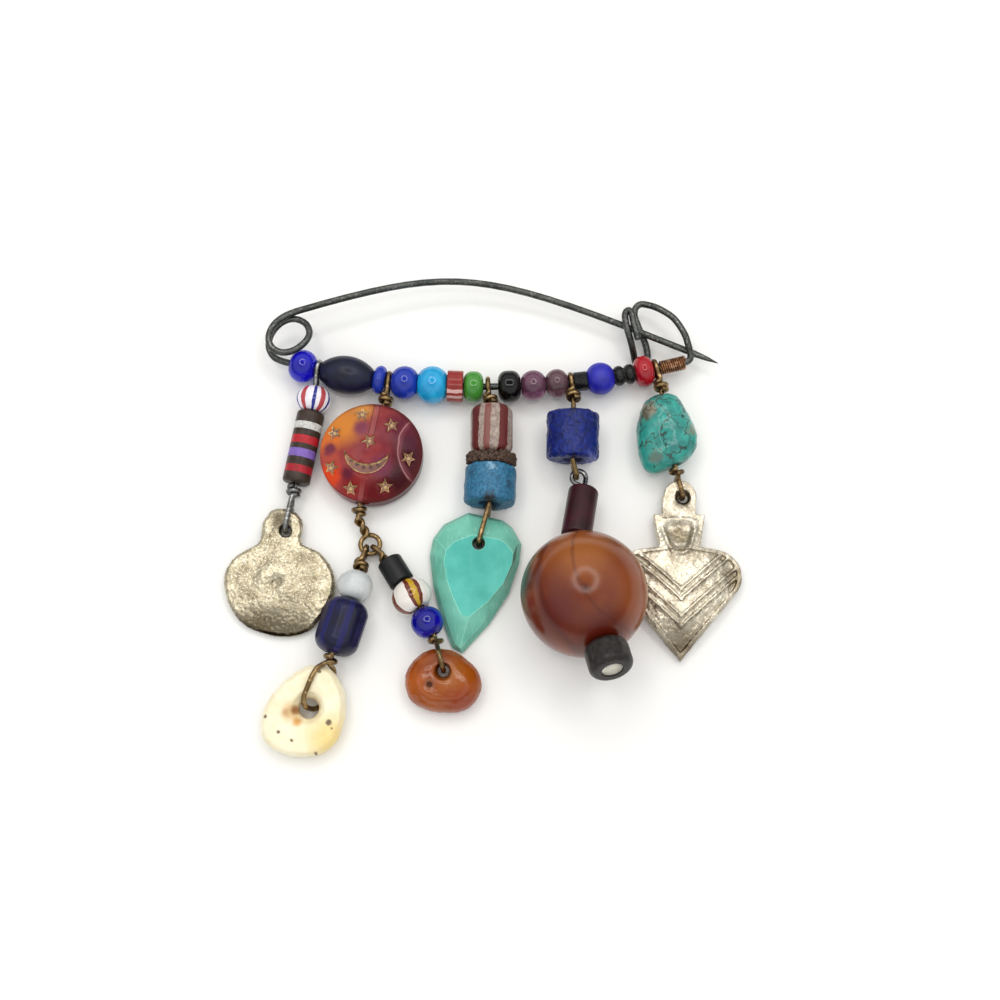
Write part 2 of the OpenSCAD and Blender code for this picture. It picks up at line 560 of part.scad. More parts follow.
// The heart's hole lies to the right of its middle line
eye_off = heart_rim * 0.35;
lobe_down = heart_len * 0.487;
crown_top = heart_len * 0.11;
crown_w = lobe_r * 0.97;
cleft = lobe_down - lobe_r - 0.48;
heart_right = heart_hole.x + page(heart_lean).x * lobe_down + (lobe_off - eye_off) * cos(heart_lean)
    + lobe_r;
left_edge = min([for (p = medal_xy) p.x]);
low_edge = min([for (p = ring_xy) p.y]);
high_edge = max([for (p = pin_route) p.y]) + pin_d / 2;
shift = [-(left_edge + heart_right) / 2, -(low_edge + high_edge) / 2, 0];

// Sub-parts
module pin_wire() color("#4c4d4b") translate(shift) wire(pin_route, pin_radii, 8);
module binding_coil() {
    r = (binding_d - binding_wire_d) / 2;
    steps = binding_turns * 10;
    s0 = arm_s("binding") - binding_len / 2;
    run = binding_len - binding_wire_d;
    path = [for (k = [0:steps]) let (s = s0 + binding_wire_d / 2 + run * k / steps)
        arm_at(s) + r * (cos(36 * k) * UP + sin(36 * k) * page(arm_turn(s)))];
    color("#7a4a2e") translate(shift) wire(path, [for (p = path) binding_wire_d / 2], 5, UP);
}
module arm_bead(name, len, d, end_share, turn = 0)
    translate(shift) on_arm(name) rotate([0, 0, turn]) bead(len, d, d * end_share, bead_bore);
module arm_drum(name, len, d, edge) translate(shift) on_arm(name) drum(len, d, edge, bead_bore);
module bead_cobalt_clear() color("#1a1fa8")
    arm_bead("cobalt_clear", cobalt_clear_len, cobalt_clear_d, 0.55);
module bead_navy_oval() color("#151a33") arm_bead("navy_oval", navy_oval_len, navy_oval_d, 0.45);
module bead_blue_ring()
    color("#1d3fa8") arm_bead("blue_ring", blue_ring_len, blue_ring_d, 0.6, blue_ring_turn);
module bead_cobalt_round() color("#2440b0")
    arm_bead("cobalt_round", cobalt_round_len, cobalt_round_d, 0.55);
module bead_sky_round() color("#35a0d8") arm_bead("sky", sky_len, sky_d, 0.55);
module bead_red_striped() color("#a8453a") arm_drum("red_striped", red_striped_len, red_striped_d, 0.15);
module bead_green_barrel() color("#4f9a35") arm_drum("green", green_len, green_d, 1.05);
module bead_black_barrel() color("#181a1a") arm_drum("black", black_len, black_d, 1.15);
module bead_mauve_a() color("#7a4a5c") arm_bead("mauve_a", mauve_a_len, mauve_a_d, 0.5);
module bead_mauve_b() color("#6e4a52") arm_bead("mauve_b", mauve_b_len, mauve_b_d, 0.5);
module bead_black_small_a() {
    color("#121314") translate(shift) on_arm("small_a") rotate([0, 90, 0]) difference() {
        cylinder(h = small_a_len, d = small_d, center = true, $fn = 8);
        cylinder(h = small_a_len + 1, d = bead_bore, center = true, $fn = 32);
    }
}
module bead_matte_cobalt() color("#1c1c9c") arm_bead("matte", matte_len, matte_d, 0.5);
module bead_black_small_b() color("#141516") arm_bead("small_b", small_b_len, small_d, 0.7);
module bead_black_small_c() color("#141516") arm_bead("small_c", small_c_len, small_d, 0.7);
module bead_red_round() color("#b01423") arm_bead("red", red_len, red_d, 0.6);

module drop1_wire() {
    neck = mix(drop1[0][0], drop1[1][0], 0.7);
    top = hook(neck, drop1[0][0], page(arm_lean("loop1")), UP, loop_r, loop_r, drop1[0][1], 0);
    eye = charm_hook(last(drop1), 2, medal_hole, medal_tilt, charm_hole_r, medal_rim, medal_t);
    shaft = [for (i = [1:3]) drop1[i][0]];
    color("#6b6a66") translate(shift) drop_wire(concat(flip(top), shaft, eye));
}
module drop1_striped_bead() color("#e8e4e2") translate(shift)
    seat(drop1[1]) bead(stripe1_len, stripe1_d, stripe1_d * 0.55, wide_bore);
module drop1_resistor() color("#6a4634") translate(shift)
    seat(drop1[2]) drum(resistor_len, resistor_d, 0.4, bead_bore);
module drop1_medal() {
    color("#b5a88c") translate(shift) hang(medal_hole, 0, medal_tilt) difference() {
        union() {
            plate(spread(MEDAL, medal_w, medal_len), medal_t,
                [[0, 0.35], [0.25, 0], [0.6, 0], [0.85, 0.4]]);
            translate([medal_len * 0.48, -medal_w * 0.06, medal_t * 0.3])
                cylinder(h = medal_t * 0.2, d1 = medal_w * 0.5, d2 = medal_w * 0.22, $fn = 48);
        }
        translate([medal_len * 0.48, -medal_w * 0.06, medal_t * 0.3])
            cylinder(h = medal_t * 0.3, d1 = medal_w * 0.03, d2 = medal_w * 0.17, $fn = 32);
        cylinder(h = 2 * medal_t, r = charm_hole_r, center = true, $fn = 32);
        translate([0, 0, medal_t * 0.2])
            cylinder(h = medal_t, r1 = charm_hole_r, r2 = charm_hole_r * 3, $fn = 32);
    }
}

// Twisted pair under the disc: the strand going down and the strand coming back
twist_turns = 1;
function strand(a, b, side, from, n = 12) =
    let (d = unit(b - a), f = across(UP, d), g = cross(d, f))
    [for (k = [0:n]) let (t = k / n, r = mix(from, 0.33, min(1, 3 * t)), w = 360 * twist_turns * t + side)
        mix(a, b, t) + r * (cos(w) * f + sin(w) * g)];
module disc_wire() {
    down = strand(disc_foot, twist_end, 180, 0);
    back = flip(strand(disc_foot, twist_end, 0, wrap_r));
    axis = -page(18);
    side = [axis.y, -axis.x, 0];
    ring = [for (t = [30:30:330]) link_mid + link_r * (cos(t) * axis + sin(t) * side)];
    coil = wrap(disc_foot, -drop2[3][1], 1.5);
    top = pin_hook("loop2", drop2[1], 2);
    color("#8a6f3c") translate(shift)
        drop_wire(concat(top, [drop2[2][0], drop2[3][0]], down, ring, back, coil));
}
// Places of the stars as shares of the disc's radius: down the page, to the right
STARS = [[-0.765, -0.19], [-0.53, 0.39], [-0.39, -0.725], [-0.19, -0.03], [0.31, -0.77],
    [0.13, 0.73], [0.73, -0.385], [0.7, 0.285]];
// Crescent as shares of the disc's radius: down the page, to the right, radius
MOON = [0.02, -0.075, 0.435];
MOON_CUT = [-0.24, -0.055, 0.505];
decor_turn = 12;
module star(r) linear_extrude(1)
    polygon([for (k = [0:9]) (k % 2 == 0 ? r : r * 0.42) * [cos(36 * k), sin(36 * k)]]);
module disc() {
    r = disc_d / 2;
    bulge = (disc_t - disc_edge_t) / 2;
    face_r = (r * r + bulge * bulge) / (2 * bulge);
    color("#8e3a26") translate(shift) seat(drop2[2]) difference() {
        rotate_extrude($fn = 96) intersection() {
            translate([0, disc_t / 2 - face_r]) circle(r = face_r, $fn = 360);
            translate([0, face_r - disc_t / 2]) circle(r = face_r, $fn = 360);
            translate([0, -disc_t / 2]) square([r, disc_t]);
        }
        rotate([0, 90, 0]) cylinder(h = disc_d + 1, d = bead_bore, center = true, $fn = 32);
        rotate([0, 0, decor_turn]) {
            for (p = STARS) {
                rise = sqrt(face_r * face_r - r * r * (p * p)) - face_r + disc_t / 2;
                translate([p.x * r, p.y * r, rise - star_depth])
                    rotate([0, 0, 50 * p.x]) star(star_r);
            }
            translate([0, 0, disc_t / 2 - star_depth - 0.15]) linear_extrude(1) difference() {
                translate([MOON.x * r, MOON.y * r]) circle(r = MOON.z * r, $fn = 64);
                translate([MOON_CUT.x * r, MOON_CUT.y * r]) circle(r = MOON_CUT.z * r, $fn = 64);
            }
        }
    }
}

module left_wire() {
    top = hook(left[1][0], left_at, left[0][1], UP, hang_r, hang_r, left[1][1], 2);
    shaft = [for (i = [2:4]) left[i][0]];
    eye = charm_hook(last(left), 1, ring_hole, ring_tilt, ring_hole_d / 2, ring_rim, ring_t, -1);
    color("#6f6450") translate(shift) drop_wire(concat(flip(top), shaft, eye));
}
module left_white_bead() color("#ebe8e4") translate(shift)
    seat(left[2]) bead(white_len, white_d, white_d * 0.5, bead_bore);
module left_navy_barrel() {
    color("#10144a") translate(shift) seat(left[3]) difference() {
        drum(barrel_len, barrel_d, 1.8, bead_bore);
        for (k = [0:barrel_grooves - 1]) rotate([360 * (k + 0.5) / barrel_grooves, 0, 0])
            translate([0, 0, barrel_d / 2 + groove_r - groove_depth]) rotate([0, 90, 0])
                cylinder(h = barrel_len + 1, r = groove_r, center = true, $fn = 32);
    }
}
module bone_ring() {
    color("#d8cdb8") translate(shift) hang(ring_hole, ring_lean, ring_tilt) difference() {
        plate(spread(RING, ring_w, ring_len), ring_t,
            [[0, 0.55], [0.22, 0.06], [0.7, 0], [1, 0.6]]);
        cylinder(h = 2 * ring_t, d = ring_hole_d, center = true, $fn = 48);
        for (s = [0, 1]) mirror([0, 0, s]) translate([0, 0, ring_t * 0.2])
            cylinder(h = ring_t * 0.4, d1 = ring_hole_d, d2 = ring_hole_d * 1.9, $fn = 48);
    }
}

module right_wire() {
    top = hook(right[1][0], right_at, right[0][1], UP, hang_r, hang_r, right[1][1], 0.5);
    shaft = [for (i = [2:5]) right[i][0]];
    eye = charm_hook(last(right), 1, amber_hole, amber_tilt, charm_hole_r, amber_rim, amber_t);
    color("#4f4a44") translate(shift) drop_wire(concat(flip(top), shaft, eye));
}
module right_black_tube() color("#17181b") translate(shift)
    seat(right[2]) drum(tube2_len, tube2_d, 0.25, bead_bore);
module right_striped_bead() color("#ddd6cc") translate(shift)
    seat(right[3]) bead(stripe2_len, stripe2_d, stripe2_d * 0.55, bent_bore);
module right_cobalt_bead() color("#10149a") translate(shift)
    seat(right[4]) bead(cobalt2_len, cobalt2_d, cobalt2_d * 0.45, bent_bore);
// A charm's hole, worn wider towards both faces
module flared_hole(t, flare) for (s = [0, 1]) mirror([0, 0, s]) translate([0, 0, -0.01])
    cylinder(h = t / 2 + 0.5, r1 = charm_hole_r, r2 = charm_hole_r * flare, $fn = 48);
module amber_nugget() {
    color("#c8861e") translate(shift) hang(amber_hole, 0, amber_tilt) difference() {
        plate(spread(AMBER, amber_w, amber_len), amber_t,
            [[0, 1.9], [0.18, 0.7], [0.45, 0], [0.72, 0.5], [1, 1.8]]);
        flared_hole(amber_t, 1.7);
    }
}

module drop3_wire() {
    top = pin_hook("loop3", drop3[1], 2);
    shaft = [for (i = [2:4]) drop3[i][0]];
    eye = charm_hook(last(drop3), 0, pendant_hole, pendant_tilt, charm_hole_r, pendant_rim, pendant_t);
    color("#7a6238") translate(shift) drop_wire(concat(top, shaft, eye));
}
module drop3_striped_tube() color("#b08a78") translate(shift)
    seat(drop3[2]) drum(tube3_len, tube3_d, 1.1, bead_bore);
module drop3_crust() color("#3a2a22") translate(shift)
    seat(drop3[3]) drum(crust_len, blue3_d * 0.97, 0.3, bead_bore);
module drop3_blue_bead() color("#1c3a78") translate(shift)
    seat(drop3[4]) drum(blue3_len, blue3_d, 0.5, wide_bore + 0.3);
module turquoise_pendant() {
    girdle = spread(PENDANT, pendant_w, pendant_len);
    cut = spread([for (p = PENDANT) [mix(TABLE_MID.x, p.x, table_share),
        mix(TABLE_MID.y, p.y, table_across)]], pendant_w, pendant_len);
    foot = -pendant_t / 2;
    rings = [[inset(girdle, 0.3), foot], [girdle, foot + 0.12 * pendant_t],
        [inset(girdle, wall_slant), foot + 0.55 * pendant_t], [cut, -foot]];
    color("#4fb3ab") translate(shift) hang(pendant_hole, -0.5, pendant_tilt) difference() {
        skin([for (ring = rings) [for (p = ring[0]) [p.x, p.y, ring[1]]]]);
        flared_hole(pendant_t, 1.3);
    }
}

module drop4_wire() {
    foot_at = last(drop4)[0];
    top = pin_hook("loop4", drop4[1], 2);
    eye = hook(foot_at, link4, unit(foot_at - link4), UP, hang_r, hang_r, -drop4[3][1], 0);
    color("#8a6f3c") translate(shift) drop_wire(concat(top, [drop4[2][0], drop4[3][0]], eye));
}
module drop4_blue_bead() color("#1a2a8c") translate(shift)
    seat(drop4[3]) drum(blue4_len, blue4_d, 0.5, wide_bore);
module drop4_lower_wire() {
    axis = drop4b[0][1];
    side = cross(UP, axis);
    top = hook(drop4b[1][0], ring4_mid, axis, side, ring4_r, ring4_r, drop4b[1][1], 0);
    end = mix(drop4b[4][0], last(drop4b)[0], 0.6);
    color("#8a8a88") translate(shift)
        drop_wire(concat(flip(top), [for (i = [2:4]) drop4b[i][0]], [end]));
}
module drop4_tube_bead() color("#3d1c26") translate(shift)
    seat(drop4b[1]) drum(tube4_len, tube4_d, 0.35, wide_bore);
module drop4_ball() {
    color("#8a4422") translate(shift) seat(drop4b[3]) difference() {
        translate([0, -ball_off, 0]) rotate(90) sphere(d = ball_d, $fn = 96);
        rotate([0, 90, 0]) cylinder(h = ball_d + 1, d = bead_bore, center = true, $fn = 32);
    }
}
module drop4_end_bead() color("#2c2a2c") translate(shift)
    seat(drop4b[4]) drum(end_len, end_d, 0.8, core_d + 0.1);
module drop4_end_core() {
    color("#c9c4b4") translate(shift) seat(drop4b[4]) difference() {
        rotate([0, 90, 0]) cylinder(h = end_len - 0.3, d = core_d, center = true, $fn = 48);
        translate([-end_len / 2, 0, 0]) rotate([0, 90, 0])
            cylinder(h = end_len * 0.75, d = bead_bore, $fn = 32);
    }
}

module drop5_wire() {
    top = pin_hook("loop5", drop5[1], 2);
    shaft = [for (i = [2:4]) drop5[i][0]];
    eye = charm_hook(last(drop5), 1, heart_hole, heart_tilt, charm_hole_r, heart_rim, heart_t);
    color("#8a6f3c") translate(shift) drop_wire(concat(top, shaft, eye));
}
module drop5_turquoise() {
    sides = 14;
    color("#3fa898") translate(shift) along(drop5[3][0], drop5[3][1]) difference() {
        skin([for (row = NUGGET) [for (k = [0:sides - 1])
            let (a = 360 * k / sides, out = row[1] * nugget_w / 2 * cos(a))
            [row[0] * nugget_len + bead_gap - row[4] * out, row[3] * nugget_w + out,
                row[2] * nugget_t / 2 * sin(a)]]]);
        translate([-1, 0, 0]) rotate([0, 90, 0]) cylinder(h = nugget_len + 2, d = bead_bore, $fn = 32);
    }
}
// Heart seen flat, with its eye, crown, lobes and point, drawn in by an inset
module heart_flat(in) {
    eye_r = charm_hole_r + heart_rim;
    d = [lobe_down, lobe_off];
    to_tip = [heart_len - in * 1.7, 0] - d;
    r = lobe_r - in;
    reach = norm(to_tip);
    half = acos(r / reach);
    touch_a = atan2(to_tip.y, to_tip.x) + half;
    touch = d + r * [cos(touch_a), sin(touch_a)];
    translate([0, eye_off * 0.3]) circle(r = eye_r - in, $fn = 64);
    for (s = [0, 1]) mirror([0, s]) {
        polygon([[0, 0], [0, eye_r - in], [crown_top - 0.1, eye_r - in], [crown_top, crown_w - in],
            [cleft - 0.1, crown_w * 0.81 - in], [cleft + 0.5, crown_w * 0.81 - in], [cleft + 0.5, 0]]);
        translate(d) circle(r = r, $fn = 96);
        polygon([[cleft + in, 0], [lobe_down - lobe_r + in, lobe_off], d, touch,
            [heart_len - in * 1.7, 0]]);
    }
}
// Chevrons on the heart: distance of each apex from the hole, as a share of the length
CHEVRONS = [0.58, 0.64, 0.74, 0.8];
module heart_charm() {
    rim = 0.55;
    bar_w = 0.32;
    color("#c2b48e") translate(shift) hang(heart_hole, heart_lean, heart_tilt) {
        difference() {
            translate([0, -eye_off, 0]) union() {
                translate([0, 0, -heart_t / 2]) linear_extrude(heart_t * 0.7) heart_flat(0);
                translate([0, 0, heart_t * 0.2]) linear_extrude(heart_t * 0.3) difference() {
                    heart_flat(0);
                    intersection() {
                        heart_flat(rim);
                        translate([cleft + 0.5, -heart_len / 2]) square(heart_len);
                    }
                }
                translate([0, 0, heart_t * 0.2]) linear_extrude(heart_relief) intersection() {
                    heart_flat(rim);
                    for (c = CHEVRONS, s = [-1, 1]) translate([c * heart_len, 0])
                        rotate([0, 0, s * 132]) translate([-0.25, -bar_w / 2])
                            square([heart_len * 0.6, bar_w]);
                }
            }
            cylinder(h = 3 * heart_t, r = charm_hole_r, center = true, $fn = 32);
            translate([0, 0, heart_t * 0.15])
                cylinder(h = heart_t, r1 = charm_hole_r, r2 = charm_hole_r * 2.4, $fn = 32);
        }
    }
}

pin_wire();
binding_coil();
bead_cobalt_clear();
bead_navy_oval();
bead_blue_ring();
bead_cobalt_round();
bead_sky_round();
bead_red_striped();
bead_green_barrel();
bead_black_barrel();
bead_mauve_a();
bead_mauve_b();
bead_black_small_a();
bead_matte_cobalt();
bead_black_small_b();
bead_black_small_c();
bead_red_round();
drop1_wire();
drop1_striped_bead();
drop1_resistor();
drop1_medal();
disc_wire();
disc();
left_wire();
left_white_bead();
left_navy_barrel();
bone_ring();
right_wire();
right_black_tube();
right_striped_bead();
right_cobalt_bead();
amber_nugget();
drop3_wire();
drop3_striped_tube();
drop3_crust();
drop3_blue_bead();
turquoise_pendant();
drop4_wire();
drop4_blue_bead();
drop4_lower_wire();
drop4_tube_bead();
drop4_ball();
drop4_end_bead();
drop4_end_core();
drop5_wire();
drop5_turquoise();
heart_charm();
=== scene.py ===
"""A hand-made safety pin brooch, strung with beads, with five drops of beads and charms."""
import math

import bmesh
import bpy
import numpy as np
from mathutils import Matrix, Vector


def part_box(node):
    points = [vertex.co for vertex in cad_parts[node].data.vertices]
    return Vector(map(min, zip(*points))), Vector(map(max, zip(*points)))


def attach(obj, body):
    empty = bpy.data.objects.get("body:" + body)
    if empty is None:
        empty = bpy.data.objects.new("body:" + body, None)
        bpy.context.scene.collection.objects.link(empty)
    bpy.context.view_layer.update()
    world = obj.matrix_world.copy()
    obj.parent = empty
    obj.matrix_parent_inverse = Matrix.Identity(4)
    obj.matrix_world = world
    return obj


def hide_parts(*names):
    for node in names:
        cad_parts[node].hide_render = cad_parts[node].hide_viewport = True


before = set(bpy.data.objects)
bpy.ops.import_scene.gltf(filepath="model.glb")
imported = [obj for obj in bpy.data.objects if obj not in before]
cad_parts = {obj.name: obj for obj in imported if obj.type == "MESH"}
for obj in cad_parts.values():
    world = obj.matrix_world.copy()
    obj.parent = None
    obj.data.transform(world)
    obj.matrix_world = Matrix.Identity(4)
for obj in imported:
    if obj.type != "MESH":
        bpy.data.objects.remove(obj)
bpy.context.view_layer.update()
MM = 0.001

# Camera, table and light
# The brooch lies on a plain white table, seen from nearly straight above. A large ring lamp
# hangs over it in a bright room, and leaves its small round mark on every glossy bead.
view_target = Vector((2.129, 1.811, 0)) * MM
view_place = Vector((2.129, -48.929, 182.96)) * MM
camera = bpy.data.objects.new("camera", bpy.data.cameras.new("camera"))
camera.data.lens, camera.data.sensor_width = 54, 36
camera.data.clip_start, camera.data.clip_end = 5 * MM, 20
camera.location = view_place
camera.rotation_euler = (view_target - view_place).to_track_quat("-Z", "Y").to_euler()
bpy.context.scene.collection.objects.link(camera)
bpy.context.scene.camera = camera


def linear(colour):
    """The linear colour of an sRGB hex value, with alpha 1."""
    parts = [int(colour[i:i + 2], 16) / 255 for i in (1, 3, 5)]
    return [c / 12.92 if c <= 0.04045 else ((c + 0.055) / 1.055) ** 2.4 for c in parts] + [1]


def add(tree, kind, inputs=None, **settings):
    """Adds a node with its settings. An input's value is a constant, a socket, or a node."""
    node = tree.nodes.new(kind)
    for name, value in settings.items():
        setattr(node, name, value)
    for key, value in (inputs or {}).items():
        if isinstance(value, str) and value.startswith("#"):
            value = linear(value)
        if isinstance(value, bpy.types.Node):
            value = value.outputs[0]
        if isinstance(value, bpy.types.NodeSocket):
            tree.links.new(value, node.inputs[key])
        else:
            node.inputs[key].default_value = value
    return node


def new_finish(name, **constants):
    """A material with one principled shader, whose constants are set on its own sockets."""
    material = bpy.data.materials.new(name)
    material.use_nodes = True
    shader = material.node_tree.nodes["Principled BSDF"]
    for socket, value in constants.items():
        if isinstance(value, str):
            value = linear(value)
        shader.inputs[socket.replace("_", " ")].default_value = value
    return material, material.node_tree, shader


def mesh_object(name, mesh, material=None):
    piece = bpy.data.objects.new(name, mesh)
    bpy.context.scene.collection.objects.link(piece)
    if material:
        mesh.materials.clear()
        mesh.materials.append(material)
    return piece


table_reach = 4.0
table_mesh = bpy.data.meshes.new("table_top")
table_mesh.from_pydata([(x * table_reach, y * table_reach, 0) for x, y in
                        ((-1, -1), (1, -1), (1, 1), (-1, 1))], [], [(0, 1, 2, 3)])
# Matte white paint shows soft shadows and no reflection.
table_paint = new_finish("white_table", Base_Color="#f5f5f3", Roughness=0.6)[0]
mesh_object("table_top", table_mesh, table_paint)

# The lamp's height, width and offset to the right are in metres. It leans, and its ring is as
# wide as its spread, seen from the table.
lamp_height, lamp_width, lamp_right, lamp_light = 0.42, 0.062, 0.01, 5.6
lamp_lean, lamp_spread = math.radians(12), math.radians(20)
lamp_mesh = bpy.data.meshes.new("ring_lamp")
lamp_radius = lamp_height * math.tan(lamp_spread)
lamp_sides = 64
rim = [(math.cos(2 * math.pi * k / lamp_sides), math.sin(2 * math.pi * k / lamp_sides))
       for k in range(lamp_sides)]
lamp_edges = (lamp_radius - lamp_width / 2, lamp_radius + lamp_width / 2)
lamp_points = [(c * r, s * r, 0) for r in lamp_edges for c, s in rim]
lamp_mesh.from_pydata(lamp_points, [], [(k, (k + 1) % lamp_sides, lamp_sides + (k + 1) % lamp_sides,
                                         lamp_sides + k) for k in range(lamp_sides)])
lamp_glow = new_finish("lamp_glow", Base_Color="#000000", Emission_Color="#fffdf9",
                       Emission_Strength=lamp_light)[0]
lamp = mesh_object("ring_lamp", lamp_mesh, lamp_glow)
lamp_place = Vector((lamp_right, lamp_height * math.tan(lamp_lean), lamp_height))
lamp.data.transform(Matrix.Translation(lamp_place) @ Matrix.Rotation(-lamp_lean, 4, "X"))

# The room grows brighter from the floor up its walls, and dims again straight overhead, so that
# a flat polished face shows a soft grey instead of a white ceiling.
room = bpy.data.worlds.new("bright_room")
room.use_nodes = True
sky = room.node_tree
sky.nodes["Background"].inputs["Color"].default_value = linear("#f8f8f8")
height = add(sky, "ShaderNodeSeparateXYZ", {0: add(sky, "ShaderNodeTexCoord").outputs["Generated"]})
walls = add(sky, "ShaderNodeMapRange", {0: height.outputs["Z"], 1: 0.05, 2: 0.6, 3: 0.24, 4: 1.12},
            interpolation_type="SMOOTHSTEP")
overhead = add(sky, "ShaderNodeMapRange", {0: height.outputs["Z"], 1: 0.86, 2: 0.97, 3: 1.0, 4: 0.3},
               interpolation_type="SMOOTHSTEP")
ceiling = add(sky, "ShaderNodeMath", {0: walls, 1: overhead}, operation="MULTIPLY")
sky.links.new(ceiling.outputs[0], sky.nodes["Background"].inputs["Strength"])
bpy.context.scene.world = room
bpy.context.scene.view_settings.view_transform = "Standard"


# Pin wire
# One length of spring steel wire, bent into the coil, the arm and the clasp, and blackened by
# its scale. Handling has rubbed it to a dull grey with small bright glints.
def merged(node):
    """A copy of a node's solid with its loose triangles joined."""
    solid = bmesh.new()
    solid.from_mesh(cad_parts[node].data)
    bmesh.ops.remove_doubles(solid, verts=solid.verts, dist=0.002 * MM)
    return solid


def wire_rings(node):
    """Centres and radii along a round wire, read ring by ring from the part's own solid.

    It starts from the wire's end cap, which is the flat face whose corners lie on a circle.
    """
    one_plane, one_circle = 0.99999, 1.02
    solid = merged(node)
    solid.normal_update()

    def flat_part(face):
        found, edge = {face}, [face]
        while edge:
            here = edge.pop()
            for side in here.edges:
                for other in side.link_faces:
                    if other not in found and other.normal.dot(face.normal) > one_plane:
                        found.add(other)
                        edge.append(other)
        return found

    end = None
    for face in solid.faces:
        part = flat_part(face)
        corners = {v for f in part for v in f.verts}
        if len(part) < 3 or len(corners) != len(part) + 2:
            continue
        middle = sum((v.co for v in corners), Vector()) / len(corners)
        reach = [(v.co - middle).length for v in corners]
        if max(reach) < one_circle * min(reach):
            end = corners
            break
    seen, ring, centres, radii = set(end), end, [], []
    while ring:
        middle = sum((v.co for v in ring), Vector()) / len(ring)
        centres.append(middle)
        radii.append(sum((v.co - middle).length for v in ring) / len(ring))
        ring = {e.other_vert(v) for v in ring for e in v.link_edges} - seen
        seen |= ring
    solid.free()
    return centres, radii


def wire_tree():
    """Geometry Nodes: a line of points becomes a smooth round wire with closed ends."""
    tree = bpy.data.node_groups.new("round_wire", "GeometryNodeTree")
    face = tree.interface
    for name, kind in (("Line", "Geometry"), ("Sides", "Int"), ("Steps", "Int"),
                       ("Metal", "Material")):
        face.new_socket(name, in_out="INPUT", socket_type="NodeSocket" + kind)
    face.new_socket("Wire", in_out="OUTPUT", socket_type="NodeSocketGeometry")
    given = add(tree, "NodeGroupInput").outputs
    line = add(tree, "GeometryNodeMeshToCurve", {0: given["Line"]})
    line = add(tree, "GeometryNodeCurveSplineType", {0: line}, spline_type="CATMULL_ROM")
    line = add(tree, "GeometryNodeSetSplineResolution", {0: line, "Resolution": given["Steps"]})
    thick = add(tree, "GeometryNodeInputNamedAttribute", {"Name": "thick"}, data_type="FLOAT")
    section = add(tree, "GeometryNodeCurvePrimitiveCircle",
                  {"Resolution": given["Sides"], "Radius": 1.0})
    tube = add(tree, "GeometryNodeCurveToMesh", {"Curve": line, "Profile Curve": section,
                                                "Scale": thick.outputs[0], "Fill Caps": True})
    tube = add(tree, "GeometryNodeSetShadeSmooth", {0: tube})
    tube = add(tree, "GeometryNodeRealizeInstances", {0: tube})
    tube = add(tree, "GeometryNodeSetMaterial", {0: tube, "Material": given["Metal"]})
    add(tree, "NodeGroupOutput", {0: tube})
    return tree


def as_seen(piece):
    """The plain mesh of a piece as its modifiers leave it."""
    bpy.context.view_layer.update()
    return bpy.data.meshes.new_from_object(
        piece.evaluated_get(bpy.context.evaluated_depsgraph_get()))


def made_of(piece, tree, **given):
    """The plain mesh that a node tree makes of a piece, with its inputs set by identifier."""
    modifier = piece.modifiers.new("nodes", "NODES")
    modifier.node_group = tree
    names = {s.name: s.identifier for s in tree.interface.items_tree
             if s.item_type == "SOCKET" and s.in_out == "INPUT"}
    for name, value in given.items():
        modifier[names[name]] = value
    mesh = as_seen(piece)
    piece.modifiers.remove(modifier)
    old, piece.data = piece.data, mesh
    bpy.data.meshes.remove(old)
    return piece


def settle(piece, node):
    """The piece stands for its part of the frame."""
    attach(piece, "root")
    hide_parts(node)
    return piece


round_wire = wire_tree()
wire_paths = {}


def bend_wire(node, name, metal, sides=14, step=0.3 * MM, ease=2, fuller=1.15):
    """A smooth wire along the rings of a node, with its kinks eased out and its flats filled."""
    centres, radii = wire_rings(node)
    points, thick = [centres[0]], [radii[0]]
    for a, b, ra, rb in zip(centres, centres[1:], radii, radii[1:]):
        parts = max(1, math.ceil((b - a).length / step))
        points += [a.lerp(b, k / parts) for k in range(1, parts + 1)]
        thick += [ra + (rb - ra) * k / parts for k in range(1, parts + 1)]
    for _ in range(ease):
        points = [points[0]] + [(a + 2 * b + c) / 4 for a, b, c in
                                zip(points, points[1:], points[2:])] + [points[-1]]
    thick = [r * fuller for r in thick]
    wire_paths[node] = points
    line = bpy.data.meshes.new(name)
    line.from_pydata(points, [(k, k + 1) for k in range(len(points) - 1)], [])
    line.attributes.new("thick", "FLOAT", "POINT").data.foreach_set("value", thick)
    piece = made_of(mesh_object(name, line), round_wire, Sides=sides, Steps=2, Metal=metal)
    return settle(piece, node)


